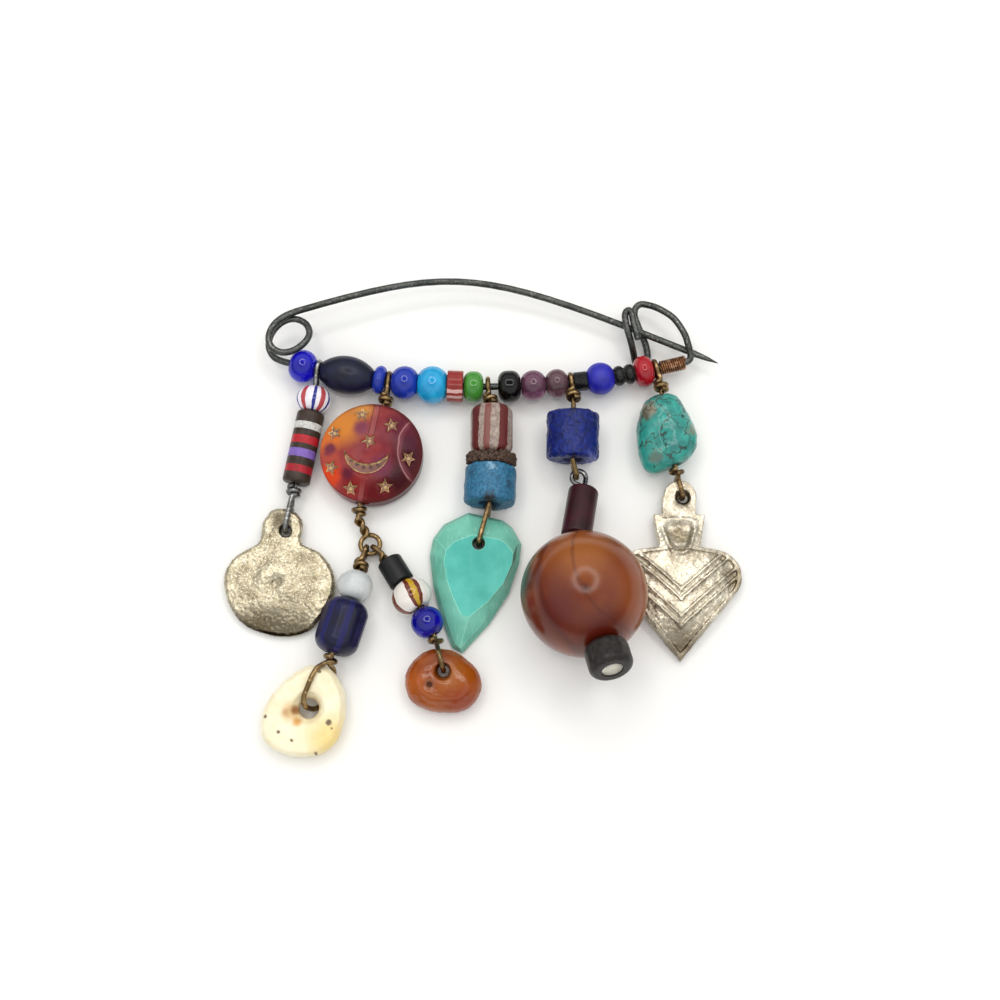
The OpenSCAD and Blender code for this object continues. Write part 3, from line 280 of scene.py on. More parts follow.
def metal_finish(name, bright, middle, dark, grain_mm, patch_mm, rough=(0.25, 0.5), bump=0.004,
                 share=(0.35, 0.65), metallic=1.0):
    """Worn metal: patches of tarnish, small rubbed glints, and a fine uneven skin.

    The share is where in the noise dark turns to middle, and the patches and grain are in
    millimetres. Polished patches are smoother than tarnished ones.
    """
    material, tree, shader = new_finish(name, Metallic=metallic)
    place = add(tree, "ShaderNodeTexCoord").outputs["Object"]
    patches = add(tree, "ShaderNodeTexNoise", {"Vector": place, "Scale": 1000 / patch_mm,
                                               "Detail": 3.0, "Roughness": 0.6})
    grain = add(tree, "ShaderNodeTexNoise", {"Vector": place, "Scale": 1000 / grain_mm,
                                             "Detail": 2.0, "Roughness": 0.5})
    worn = add(tree, "ShaderNodeMapRange", {0: patches, 1: share[0], 2: share[1]},
               interpolation_type="SMOOTHSTEP")
    glint = add(tree, "ShaderNodeMapRange", {0: grain, 1: 0.55, 2: 0.72})
    skin = add(tree, "ShaderNodeMix", {"Factor": worn, "A": dark, "B": middle}, data_type="RGBA")
    skin = add(tree, "ShaderNodeMix", {"Factor": glint, "A": skin.outputs["Result"], "B": bright},
               data_type="RGBA")
    polish = add(tree, "ShaderNodeMapRange", {0: worn, 3: rough[1], 4: rough[0]})
    uneven = add(tree, "ShaderNodeBump", {"Strength": 1.0, "Distance": bump * MM, "Height": grain})
    tree.links.new(skin.outputs["Result"], shader.inputs["Base Color"])
    tree.links.new(polish.outputs[0], shader.inputs["Roughness"])
    tree.links.new(uneven.outputs[0], shader.inputs["Normal"])
    return material, tree, shader, skin.outputs["Result"]


# Drawn steel under its own scale: near black, half dull, with grey glints along the top.
blackened_steel = metal_finish("blackened_spring_steel", "#7c7e7b", "#565855", "#424442",
                               0.3, 3.0, rough=(0.3, 0.42), bump=0.006)[0]
bend_wire("pin_wire", "steel_pin", blackened_steel, sides=18, ease=1, fuller=1.08)

# Binding
# Thin copper wire is wound twelve turns round the end of the arm, where it meets the clasp,
# and has browned between the turns.
# Drawn copper: a warm shine on the crown of each turn, brown in between.
browned_copper = metal_finish("browned_copper_wire", "#d8b090", "#a07454", "#7a5038",
                              0.5, 1.4, rough=(0.22, 0.36), bump=0.002)[0]
bend_wire("binding_coil", "copper_binding", browned_copper, sides=10, ease=0,
          fuller=1.0)

# Glass beads on the arm
# Fifteen small glass beads, most of them wound or drawn and then reheated until they shone.
# Their skin is smooth with faint flow marks, and dull and chipped at the rims of their holes.
def upright(middle, along):
    """A piece's own frame: x runs down its string, y across to the right, and z up."""
    across = Vector((0, 0, 1)).cross(along).normalized()
    axes = Matrix((along, across, along.cross(across))).transposed().to_4x4()
    return Matrix.Translation(middle) @ axes


def lie_of(node, wire):
    """The frame of a bead that is threaded on a wire."""
    low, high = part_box(node)
    middle, path = (low + high) / 2, wire_paths[wire]
    near = min(range(1, len(path) - 1), key=lambda k: (path[k] - middle).length)
    along = (path[near + 1] - path[near - 1]).normalized()
    return upright(middle, along if along.dot(Vector((1, -1, 0))) > 0 else -along)


def smooth_copy(node, name, lie, crease=40):
    """A merged, smooth shaded copy of a node, which knows its own frame in millimetres."""
    solid = merged(node)
    bmesh.ops.dissolve_degenerate(solid, edges=solid.edges, dist=0.001 * MM)
    mesh = bpy.data.meshes.new(name)
    solid.to_mesh(mesh)
    solid.free()
    mesh.shade_smooth()
    mesh.set_sharp_from_angle(angle=math.radians(crease))
    piece = mesh_object(name, mesh)
    know_place(piece, lie)
    return piece


def know_place(piece, lie):
    """Stores where each point is in the piece's own frame, in millimetres."""
    mesh = piece.data
    own = lie.inverted()
    mark = mesh.attributes.get("own_mm") or mesh.attributes.new("own_mm", "FLOAT_VECTOR", "POINT")
    mark.data.foreach_set("vector", np.array([(own @ v.co) / MM for v in mesh.vertices],
                                             np.float32).ravel())


def own_place(tree):
    """The place in the piece's own frame, and its x, y and z."""
    place = add(tree, "ShaderNodeAttribute", attribute_name="own_mm").outputs["Vector"]
    parts = add(tree, "ShaderNodeSeparateXYZ", {0: place}).outputs
    return place, parts["X"], parts["Y"], parts["Z"]


def glass_finish(name, skin, deep, clear=0.0, rough=0.07, hole=1.2, worn=1.0, milk=0.0, pits=0.0,
                 cloud_mm=2.0, shine=0.5):
    """Worked glass: a slow drift of colour, flow marks round the hole, and a worn rim.

    Clear and milk are shares of clear and of cloudy glass, worn and pits say how far the rim of
    the hole and the skin have gone dull and grey, and shine is low on dull or etched glass.
    """
    ragged_mm, grit_mm, rim_mm, rim_soft_mm = 0.35, 0.12, 0.7, 0.15
    material, tree, shader = new_finish(name, IOR=1.52, Transmission_Weight=clear,
                                        Specular_IOR_Level=shine, Subsurface_Weight=milk,
                                        Subsurface_Scale=0.6 * MM, Subsurface_Radius=(1, 1, 1))
    place, _, y, z = own_place(tree)
    cloud = add(tree, "ShaderNodeTexNoise", {"Vector": place, "Scale": 1 / cloud_mm, "Detail": 3.0})
    drift = add(tree, "ShaderNodeMapRange", {0: cloud, 1: 0.35, 2: 0.68})
    colour = add(tree, "ShaderNodeMix", {"Factor": drift, "A": deep, "B": skin},
                 data_type="RGBA").outputs["Result"]
    from_axis = add(tree, "ShaderNodeCombineXYZ", {"Y": y, "Z": z})
    reach = add(tree, "ShaderNodeVectorMath", {0: from_axis}, operation="LENGTH").outputs["Value"]
    ragged = add(tree, "ShaderNodeTexNoise", {"Vector": place, "Scale": 1 / ragged_mm, "Detail": 2.0})
    edge = add(tree, "ShaderNodeMath", {0: ragged, 1: 0.7, 2: reach}, operation="MULTIPLY_ADD")
    rim = add(tree, "ShaderNodeMapRange", {0: edge, 1: hole / 2 + rim_mm + rim_soft_mm,
                                           2: hole / 2 + rim_mm - rim_soft_mm, 3: 0.0, 4: worn})
    flow = add(tree, "ShaderNodeMapping", {0: place, "Scale": (4.0, 0.5, 0.5)})
    marks = add(tree, "ShaderNodeTexNoise", {"Vector": flow, "Scale": 1.0, "Detail": 2.0})
    grit = add(tree, "ShaderNodeTexNoise", {"Vector": place, "Scale": 1 / grit_mm, "Detail": 1.0})
    pit = add(tree, "ShaderNodeMapRange", {0: grit, 1: 0.66, 2: 0.7, 3: 0.0, 4: pits})
    dull = add(tree, "ShaderNodeMath", {0: rim, 1: pit}, operation="MAXIMUM")
    grey = add(tree, "ShaderNodeMath", {0: dull, 1: 0.35}, operation="MULTIPLY")
    colour = add(tree, "ShaderNodeMix", {"Factor": grey, "A": colour, "B": "#9a948c"},
                 data_type="RGBA").outputs["Result"]
    skin_rough = add(tree, "ShaderNodeMapRange", {0: dull, 3: rough, 4: 0.6})
    height = add(tree, "ShaderNodeMath", {0: pit, 1: -0.6, 2: marks}, operation="MULTIPLY_ADD")
    relief = add(tree, "ShaderNodeBump", {"Strength": 1.0, "Distance": 0.006 * MM, "Height": height})
    tree.links.new(colour, shader.inputs["Base Color"])
    tree.links.new(skin_rough.outputs[0], shader.inputs["Roughness"])
    tree.links.new(relief.outputs[0], shader.inputs["Normal"])
    return material, tree, shader, colour


def string_bead(node, name, wire, finish, crease=40, lie=None):
    """A bead keeps its own solid form, and gets its finish and its frame on the wire."""
    piece = smooth_copy(node, name, lie or lie_of(node, wire), crease)
    piece.data.materials.append(finish)
    return settle(piece, node)


# Clear glass lets the table's light through at its edges; navy was pressed in a mould and is
# satin; the opaque colours are glossy, and the small black beads have gone dull with pits.
arm = "pin_wire"
string_bead("bead_cobalt_clear", "clear_cobalt_bead", arm, glass_finish(
    "clear_cobalt_glass", "#1c18f0", "#120ec4", clear=0.6, rough=0.03, shine=0.35)[0])
string_bead("bead_navy_oval", "navy_oval_bead", arm, glass_finish(
    "navy_moulded_glass", "#141738", "#0b0d22", rough=0.34, worn=0.5, shine=0.3)[0])
mid_blue = glass_finish("mid_blue_glass", "#1c3ab0", "#142a8c", rough=0.07, shine=0.4)[0]
string_bead("bead_blue_ring", "blue_ring_bead", arm, mid_blue)
string_bead("bead_cobalt_round", "blue_round_bead", arm, mid_blue)
string_bead("bead_sky_round", "sky_round_bead", arm, glass_finish(
    "sky_blue_glass", "#22aee0", "#0f8cc4", rough=0.07)[0])
string_bead("bead_green_barrel", "green_barrel_bead", arm, glass_finish(
    "green_glass", "#4a9438", "#357c28", rough=0.07, worn=0.4)[0])
black_glass = glass_finish("black_glass", "#0a0a0b", "#050505", rough=0.08, shine=0.3)[0]
string_bead("bead_black_barrel", "black_barrel_bead", arm, black_glass)
mauve = glass_finish("mauve_clear_glass", "#9a6484", "#6e4058", clear=0.6, rough=0.05)[0]
string_bead("bead_mauve_a", "mauve_bead", arm, mauve)
string_bead("bead_mauve_b", "brown_mauve_bead", arm, glass_finish(
    "brown_mauve_clear_glass", "#8c6872", "#643f4a", clear=0.6, rough=0.05)[0])
worn_black = glass_finish("worn_black_glass", "#111113", "#08080a", rough=0.16, pits=0.8,
                          shine=0.3)[0]
for letter in "abc":
    string_bead("bead_black_small_" + letter, "small_black_bead_" + letter, arm, worn_black)
string_bead("bead_matte_cobalt", "frosted_cobalt_bead", arm, glass_finish(
    "frosted_cobalt_glass", "#2222c4", "#1616a2", clear=0.2, rough=0.42)[0])
string_bead("bead_red_round", "red_round_bead", arm, glass_finish(
    "red_glass", "#b80f24", "#8e0a1a", rough=0.06)[0])


def striped(finish, stripes, blur=2.5, twist=0.0):
    """Lays lengthwise stripes, each (angle, half width, colour) in degrees, on a glass finish."""
    material, tree, shader, colour = finish
    place, x, y, z = own_place(tree)
    wobble = add(tree, "ShaderNodeTexNoise", {"Vector": place, "Scale": 1.2, "Detail": 2.0})
    shift = add(tree, "ShaderNodeMapRange", {0: wobble, 3: -blur * 2, 4: blur * 2})
    turn = add(tree, "ShaderNodeMath", {0: y, 1: z}, operation="ARCTAN2")
    turn = add(tree, "ShaderNodeMath", {0: turn, 1: 180 / math.pi, 2: shift},
               operation="MULTIPLY_ADD")
    turn = add(tree, "ShaderNodeMath", {0: x, 1: twist, 2: turn}, operation="MULTIPLY_ADD")
    for angle, half, paint in stripes:
        off = add(tree, "ShaderNodeMath", {0: turn, 1: 180 - angle}, operation="ADD")
        off = add(tree, "ShaderNodeMath", {0: off, 1: 360.0, 2: 0.0}, operation="WRAP")
        off = add(tree, "ShaderNodeMath", {0: off, 1: 180.0, 2: half}, operation="COMPARE")
        colour = add(tree, "ShaderNodeMix", {"Factor": off, "A": colour, "B": paint},
                     data_type="RGBA").outputs["Result"]
    tree.links.new(colour, shader.inputs["Base Color"])
    return material


# Canes of pale glass are melted into a brick-red rod, and the whole is half dull.
string_bead("bead_red_striped", "red_striped_bead", arm, striped(glass_finish(
    "brick_red_cane_glass", "#983430", "#802622", rough=0.2, worn=0.4, shine=0.3),
    [(62, 12, "#d8b8b0"), (-38, 7, "#d0a8a2"), (-62, 6, "#c8a09c"), (150, 10, "#d0a8a2")]))

# Drop 1, wire and beads
# Grey iron wire hangs from the arm. It carries a white glass bead with red and blue canes laid
# on it, and an old carbon resistor, a brown moulded rod with lacquer bands.
# Drawn iron: light grey with a soft shine, darker where it has not been rubbed.
grey_iron = metal_finish("grey_iron_wire", "#c4c4c2", "#8b8c8c", "#5a5a58", 0.4, 1.8,
                         rough=(0.22, 0.36), bump=0.004)[0]
bend_wire("drop1_wire", "iron_drop_wire", grey_iron)
# White glass with canes melted flush into it is glossy all over.
drop1 = "drop1_wire"
cane_red, cane_blue = "#b4444a", "#1c2686"
string_bead("drop1_striped_bead", "striped_cane_bead", drop1, striped(glass_finish(
    "white_cane_glass", "#f0ecf2", "#e2dce6", rough=0.08, milk=0.1),
    [(-62, 5, cane_blue), (-30, 9, cane_red), (10, 6, cane_blue), (40, 9, cane_red),
     (68, 5, cane_blue), (108, 9, cane_red), (150, 6, cane_blue), (-104, 9, cane_red),
     (-150, 6, cane_blue)], blur=1.5))
# Moulded brown resin is matte with grime toward its ends; the lacquer bands are a little brighter.
resistor, tree, shader, colour = glass_finish("moulded_resistor_shell", "#45372e", "#2e231d",
                                              rough=0.38, worn=0.2, cloud_mm=0.8, shine=0.25)
place, x = own_place(tree)[:2]
rod, grime_mm = 9.4, 0.5
bands = ((0.17, 0.27, "#c9c9c4"), (0.36, 0.47, "#b3202c"), (0.545, 0.66, "#7f62b4"),
         (0.77, 0.87, "#a81e2c"))
for start, end, paint in bands:
    off = add(tree, "ShaderNodeMath", {0: x, 1: (start + end - 1) / 2 * rod,
                                       2: (end - start) / 2 * rod}, operation="COMPARE")
    colour = add(tree, "ShaderNodeMix", {"Factor": off, "A": colour, "B": paint},
                 data_type="RGBA").outputs["Result"]
grime = add(tree, "ShaderNodeTexNoise", {"Vector": place, "Scale": 1 / grime_mm, "Detail": 4.0,
                                         "Roughness": 0.7})
grime = add(tree, "ShaderNodeMapRange", {0: grime, 1: 0.5, 2: 0.7, 4: 0.55})
along = add(tree, "ShaderNodeMath", {0: x}, operation="ABSOLUTE")
ends = add(tree, "ShaderNodeMapRange", {0: along, 1: rod / 2 - 1.0, 2: rod / 2, 4: 0.5})
grime = add(tree, "ShaderNodeMath", {0: grime, 1: ends}, operation="MAXIMUM")
colour = add(tree, "ShaderNodeMix", {"Factor": grime, "A": colour, "B": "#33261e"},
             data_type="RGBA").outputs["Result"]
tree.links.new(colour, shader.inputs["Base Color"])
string_bead("drop1_resistor", "resistor_bead", drop1, resistor)


# Drop 1, medal
# A cast medal of pale pot metal, worn until its picture is gone. What is left is a grainy skin
# that shines on its high grains, with a dent in the middle and brown tarnish in every pit.
def flat_lie(node):
    """The frame of a flat charm: x runs down the page, y to the right, and z up."""
    return upright(sum(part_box(node), Vector()) / 2, Vector((0, -1, 0)))


def remade(node, name, voxel_mm, rounds, lie):
    """A node's form in even small faces, eased, at its own size, ready to be worked on."""
    piece = smooth_copy(node, name, lie)
    remesh = piece.modifiers.new("even", "REMESH")
    remesh.mode, remesh.voxel_size = "VOXEL", voxel_mm * MM
    if rounds:
        soft = piece.modifiers.new("soft", "SMOOTH")
        soft.factor, soft.iterations = 0.5, rounds
    mesh = as_seen(piece)
    piece.modifiers.clear()
    own = lie.inverted()
    before = np.array([own @ v.co for v in piece.data.vertices])
    after = np.array([own @ v.co for v in mesh.vertices])
    grow = np.ptp(before, axis=0) / np.ptp(after, axis=0)
    after = (after - after.min(axis=0)) * grow + before.min(axis=0)
    for v, co in zip(mesh.vertices, after):
        v.co = lie @ Vector(co)
    old, piece.data = piece.data, mesh
    bpy.data.meshes.remove(old)
    mesh.shade_smooth()
    return piece


def pushed(piece, lie, rise):
    """Moves what faces up by rise(x, y), all in millimetres in its own frame."""
    own, full = lie.inverted(), 0.3
    up = lie.to_3x3() @ Vector((0, 0, 1))
    shares = [min(1, max(0, v.normal.dot(up) / full)) for v in piece.data.vertices]
    for v, share in zip(piece.data.vertices, shares):
        place = own @ v.co
        v.co = lie @ (place + Vector((0, 0, share * rise(place.x / MM, place.y / MM) * MM)))


def pitted_tree():
    """Geometry Nodes: moves a surface along its normals by two sizes of noise."""
    tree = bpy.data.node_groups.new("pitted_skin", "GeometryNodeTree")
    face = tree.interface
    face.new_socket("Form", in_out="INPUT", socket_type="NodeSocketGeometry")
    for name in ("Lump size", "Lump depth", "Grain size", "Grain depth", "Seed"):
        face.new_socket(name, in_out="INPUT", socket_type="NodeSocketFloat")
    face.new_socket("Form", in_out="OUTPUT", socket_type="NodeSocketGeometry")
    given = add(tree, "NodeGroupInput").outputs
    place = add(tree, "GeometryNodeInputPosition")
    push = None
    for size, depth in (("Lump size", "Lump depth"), ("Grain size", "Grain depth")):
        scale = add(tree, "ShaderNodeMath", {0: 1.0, 1: given[size]}, operation="DIVIDE")
        noise = add(tree, "ShaderNodeTexNoise", {"Vector": place, "Scale": scale, "Detail": 2.0,
                                                 "W": given["Seed"]}, noise_dimensions="4D")
        height = add(tree, "ShaderNodeMapRange", {0: noise, 1: 0.25, 2: 0.75, 3: -0.5, 4: 0.5})
        height = add(tree, "ShaderNodeMath", {0: height, 1: given[depth]}, operation="MULTIPLY")
        push = height if push is None else add(tree, "ShaderNodeMath", {0: push, 1: height},
                                               operation="ADD")
    move = add(tree, "ShaderNodeVectorMath", {0: add(tree, "GeometryNodeInputNormal"),
                                              "Scale": push}, operation="SCALE")
    form = add(tree, "GeometryNodeSetPosition", {0: given["Form"], "Offset": move})
    form = add(tree, "GeometryNodeRealizeInstances", {0: form})
    add(tree, "NodeGroupOutput", {0: form})
    return tree


pitted_skin = pitted_tree()


def charm(node, name, voxel, lump, grain, seed, finish, rounds=2, lie=None, rise=None):
    """A worked charm. Lump and grain are the (size, depth) of its unevenness in millimetres."""
    lie = lie or flat_lie(node)
    piece = remade(node, name, voxel, rounds, lie)
    if rise:
        pushed(piece, lie, rise)
    made_of(piece, pitted_skin, **{"Lump size": lump[0] * MM, "Lump depth": lump[1] * MM,
                                   "Grain size": grain[0] * MM, "Grain depth": grain[1] * MM,
                                   "Seed": float(seed)})
    know_place(piece, lie)
    piece.data.materials.clear()
    piece.data.materials.append(finish)
    return settle(piece, node)


def stains_and_painted_light(finish, stains, ragged=0.25, grain_mm=0.8, keep=1.0):
    """Lays soft patches, each (x, y, radius, softness, colour) in the piece's own millimetres: stains,
    and on some pieces painted light and shade.
    """
    material, tree, shader, colour = finish
    place = own_place(tree)[0]
    drift = add(tree, "ShaderNodeTexNoise", {"Vector": place, "Scale": 1 / grain_mm, "Detail": 3.0})
    drift = add(tree, "ShaderNodeVectorMath", {0: drift.outputs["Color"], 1: (0.5, 0.5, 0.5)},
                operation="SUBTRACT")
    drift = add(tree, "ShaderNodeVectorMath", {0: drift, "Scale": 4 * ragged}, operation="SCALE")
    place = add(tree, "ShaderNodeVectorMath", {0: place, 1: drift}, operation="ADD")
    place = add(tree, "ShaderNodeVectorMath", {0: place, 1: (1, 1, 0)}, operation="MULTIPLY")
    for x, y, radius, soft, paint in stains:
        away = add(tree, "ShaderNodeVectorMath", {0: place, 1: (x, y, 0)},
                   operation="DISTANCE").outputs["Value"]
        cover = add(tree, "ShaderNodeMapRange", {0: away, 1: radius + soft, 2: radius - soft,
                                                 4: keep}, interpolation_type="SMOOTHSTEP")
        colour = add(tree, "ShaderNodeMix", {"Factor": cover, "A": colour, "B": paint},
                     data_type="RGBA").outputs["Result"]
    tree.links.new(colour, shader.inputs["Base Color"])
    return material, tree, shader, colour


def arcs_of_lines_and_highlight(finish, cords):
    """Lays thin arcs, each (centre x, y, radius, half width, colour, strength), on the top side. On the
    carnelian they are growth lines, and on the disc a painted highlight.
    """
    material, tree, shader, colour = finish
    place, x, y, z = own_place(tree)
    flat = add(tree, "ShaderNodeCombineXYZ", {"X": x, "Y": y})
    drift = add(tree, "ShaderNodeTexNoise", {"Vector": place, "Scale": 0.5, "Detail": 1.0})
    above = add(tree, "ShaderNodeMapRange", {0: z, 1: 0.2, 2: 0.6})
    for centre_x, centre_y, radius, half, paint, strength in cords:
        away = add(tree, "ShaderNodeVectorMath", {0: flat, 1: (centre_x, centre_y, 0)},
                   operation="DISTANCE").outputs["Value"]
        away = add(tree, "ShaderNodeMath", {0: drift, 1: 0.4, 2: away}, operation="MULTIPLY_ADD")
        away = add(tree, "ShaderNodeMath", {0: away, 1: radius + 0.2}, operation="SUBTRACT")
        away = add(tree, "ShaderNodeMath", {0: away}, operation="ABSOLUTE")
        cover = add(tree, "ShaderNodeMapRange", {0: away, 1: half, 2: half / 4, 4: strength})
        cover = add(tree, "ShaderNodeMath", {0: cover, 1: above}, operation="MULTIPLY")
        colour = add(tree, "ShaderNodeMix", {"Factor": cover, "A": colour, "B": paint},
                     data_type="RGBA").outputs["Result"]
    tree.links.new(colour, shader.inputs["Base Color"])
    return material, tree, shader, colour


def tarnished(finish, dark, low, high):
    """Darkens what lies lower than the metal round it, where polishing never reaches."""
    material, tree, shader, colour = finish
    bulge = add(tree, "ShaderNodeNewGeometry").outputs["Pointiness"]
    hollow = add(tree, "ShaderNodeMapRange", {0: bulge, 1: high, 2: low})
    colour = add(tree, "ShaderNodeMix", {"Factor": hollow, "A": colour, "B": dark},
                 data_type="RGBA").outputs["Result"]
    tree.links.new(colour, shader.inputs["Base Color"])
    return material, tree, shader, colour


def pot_metal(name, bright, middle, dark):
    """Cast white metal: pale glints on its grains, brown in its pits."""
    cast = metal_finish(name, bright, middle, dark, 0.18, 2.4, rough=(0.3, 0.44), bump=0.012,
                        share=(0.3, 0.62))
    return tarnished(cast, "#43391f", 0.4, 0.5)


def medal_dent(x, y):
    """A shallow dent with a raised lip, left of the middle, and a lower edge that falls away."""
    away = math.hypot(x - 2.2, y + 0.6)
    lip = 0.1 * math.exp(-((away - 2.2) / 0.8) ** 2)
    return lip - 0.25 * math.exp(-(away / 1.2) ** 2) - 0.5 * max(0, (x - 3.5) / 4) ** 2


medal_metal = stains_and_painted_light(pot_metal("worn_pot_metal", "#fdf5e2", "#c2b89e", "#958a70"), [
    (-6.3, 0.0, 1.2, 0.6, "#3c3020"), (9.0, 0.5, 4.6, 2.6, "#4c4232"),
    (7.4, -4.0, 2.4, 2.0, "#544834")], keep=0.8)[0]
charm("drop1_medal", "cast_medal", 0.1, (1.6, 0.16), (0.34, 0.13), 3, medal_metal,
      rounds=5, rise=medal_dent)

# Drop 2, disc
# Old brass wire carries a lens of pressed glass that shades from orange at the left to plum and
# wine at the right. The drilled hole is painted on it as it would show through the glass, a pale
# tunnel of painted light between painted shade. Stars and a crescent are pressed into its face,
# and their hollows keep a worn gold wash.
# Drawn brass, long tarnished: brown with a dull golden shine on its rubbed top.
old_brass = metal_finish("tarnished_brass_wire", "#c0a276", "#8f7650", "#66533a", 0.5, 2.4,
                         rough=(0.26, 0.38), bump=0.003)[0]
bend_wire("disc_wire", "brass_disc_wire", old_brass)
# Pressed glass of several colours run together: glowing orange, plum and wine under a soft gloss.
# The small purple patches at (-3.0, -1.2), (-0.4, -5.2) and (-1.2, 4.9) are painted shadows of the
# pressed stars, where they show on the back of the glass.
sunset = stains_and_painted_light(glass_finish("pressed_sunset_glass", "#96403e", "#7e2c34", rough=0.2, worn=0.0,
                              shine=0.1), [
    (-2.6, 4.4, 2.6, 1.8, "#5c2230"), (0.6, 4.9, 2.2, 1.6, "#431622"),
    (3.6, 3.6, 2.6, 1.8, "#380810"), (5.4, 0.6, 1.8, 1.2, "#5c1216"),
    (4.4, -2.2, 1.4, 1.0, "#7e1e1e"), (-3.7, -3.8, 2.6, 1.6, "#c87c34"),
    (-1.6, -5.6, 1.6, 1.0, "#c8682c"), (-5.6, -1.2, 1.3, 0.8, "#c08040"),
    (3.0, -5.2, 1.5, 0.7, "#c8401a"), (0.8, -5.0, 1.1, 0.7, "#a8483a"),
    (-0.4, -5.2, 0.8, 0.4, "#703040"), (-3.0, -1.2, 1.0, 0.6, "#7c3c4c"),
    (2.9, -2.8, 0.8, 0.5, "#5e1c2c"), (-1.2, 4.9, 0.8, 0.5, "#4e2030"),
    (1.9, 1.4, 1.2, 1.0, "#74344a")], ragged=0.15)
# The two arcs at the right of the disc are a painted highlight: the lamp's reflection in a ripple of
# the glass, a pale line inside a rosy band.
material, tree, shader, colour = arcs_of_lines_and_highlight(sunset, [
    (-0.4, 8.9, 5.4, 0.5, "#8c4a54", 0.35), (-0.3, 8.6, 5.3, 0.12, "#cc9494", 0.45)])
x, y = own_place(tree)[1:3]
# The tunnel is painted: a faint bar of painted light between two lines of painted shade for its walls,
# and it fades out under the crescent.
drill_lean, drill_off, bore_shade_reach, drill_half, tunnel_light_half = math.radians(-9), 0.3, 0.36, 0.07, 0.32
y = add(tree, "ShaderNodeMath", {0: y, 1: drill_off}, operation="ADD").outputs[0]
beside = add(tree, "ShaderNodeMath", {0: y, 1: math.cos(drill_lean)}, operation="MULTIPLY")
beside = add(tree, "ShaderNodeMath", {0: x, 1: -math.sin(drill_lean), 2: beside},
             operation="MULTIPLY_ADD")
wall = add(tree, "ShaderNodeMath", {0: beside}, operation="ABSOLUTE")
wall = add(tree, "ShaderNodeMath", {0: wall, 1: bore_shade_reach, 2: drill_half}, operation="COMPARE")
painted_tunnel_light = add(tree, "ShaderNodeMath", {0: beside, 1: 0.0, 2: tunnel_light_half}, operation="COMPARE")
above = add(tree, "ShaderNodeMapRange", {0: x, 1: -1.2, 2: -2.4})
below = add(tree, "ShaderNodeMapRange", {0: x, 1: 3.6, 2: 5.0, 4: 0.8})
shown = add(tree, "ShaderNodeMath", {0: above, 1: below}, operation="ADD")
for mark, paint, strength in ((painted_tunnel_light, "#a8706a", 0.3), (wall, "#54242a", 0.6)):
    mark = add(tree, "ShaderNodeMath", {0: mark, 1: strength}, operation="MULTIPLY")
    mark = add(tree, "ShaderNodeMath", {0: mark, 1: shown}, operation="MULTIPLY")
    colour = add(tree, "ShaderNodeMix", {"Factor": mark, "A": colour, "B": paint},
                 data_type="RGBA").outputs["Result"]
# The disc is darkened round its rim: painted shade.
rim_shade_in, rim_shade_out = 5.95, 6.4
edge = add(tree, "ShaderNodeCombineXYZ", {"X": x, "Y": y})
edge = add(tree, "ShaderNodeVectorMath", {0: edge}, operation="LENGTH").outputs["Value"]
edge = add(tree, "ShaderNodeMapRange", {0: edge, 1: rim_shade_in, 2: rim_shade_out, 4: 0.7})
colour = add(tree, "ShaderNodeMix", {"Factor": edge, "A": colour, "B": "#4a1a18"},
             data_type="RGBA").outputs["Result"]
tree.links.new(colour, shader.inputs["Base Color"])
pressed_disc = string_bead("disc", "pressed_disc", "disc_wire", material, crease=30,
                           lie=flat_lie("disc"))
# Thin gold rubbed into the hollows: a dull yellow line round each star, brown glass inside.
gold_wash = metal_finish("worn_gold_wash", "#e0cc98", "#b89c64", "#846a40", 0.3, 0.7,
                         rough=(0.3, 0.5), bump=0.006, metallic=0.6)[0]
moon_dots = [(x, y, 0.26, 0.08, "#4a2420") for x, y in
             ((1.2, -2.35), (1.75, -1.65), (2.15, -0.85), (2.15, 0.05), (1.85, 0.95), (1.1, 1.65))]
star_reach = 5.6
star_dots = [(star_reach * x, star_reach * y, 0.2, 0.08, "#b89c64") for x, y in
             ((-0.88, -0.22), (-0.61, 0.45), (-0.45, -0.83), (-0.22, -0.03), (0.36, -0.89),
              (0.15, 0.84), (0.84, -0.44), (0.81, 0.33))]
hollow_glass = stains_and_painted_light(glass_finish("hollow_brown_glass", "#8a5a44", "#6e4038", rough=0.3, worn=0.0),
                       moon_dots + star_dots, ragged=0.02)[0]
pressed_disc.data.materials.append(gold_wash)
pressed_disc.data.materials.append(hollow_glass)
# What lies deeper than the hollow limit under the dome, away from the bore and the rim, is a
# pressed star or the crescent, and a band of gold as wide as the outline stands round its floor.
dome_r, dome_top, bore_r, face_r, hollow, outline = 17.26, 2.2, 0.7, 6.3, 0.05, 0.13
own = lie_of("disc", "disc_wire").inverted()
solid = bmesh.new()
solid.from_mesh(pressed_disc.data)
sunk = []
for face in solid.faces:
    place = own @ face.calc_center_median() / MM
    dome = math.sqrt(dome_r ** 2 - place.x ** 2 - place.y ** 2) - dome_r + dome_top
    if bore_r < place.z < dome - hollow and math.hypot(place.x, place.y) < face_r:
        face.material_index = 1
        if face.normal.z > 0.9:
            sunk.append(face)
bmesh.ops.inset_region(solid, faces=sunk, thickness=outline * MM)
for face in sunk:
    face.material_index = 2
solid.to_mesh(pressed_disc.data)
solid.free()
know_place(pressed_disc, flat_lie("disc"))

# Drop 2, left string
# From the wire's ring hang a milk glass bead, a navy barrel with shallow lengthwise grooves, and
# a slice of polished bone with brown pores and a brown stain beside its hole.
bend_wire("left_wire", "brass_left_wire", old_brass)
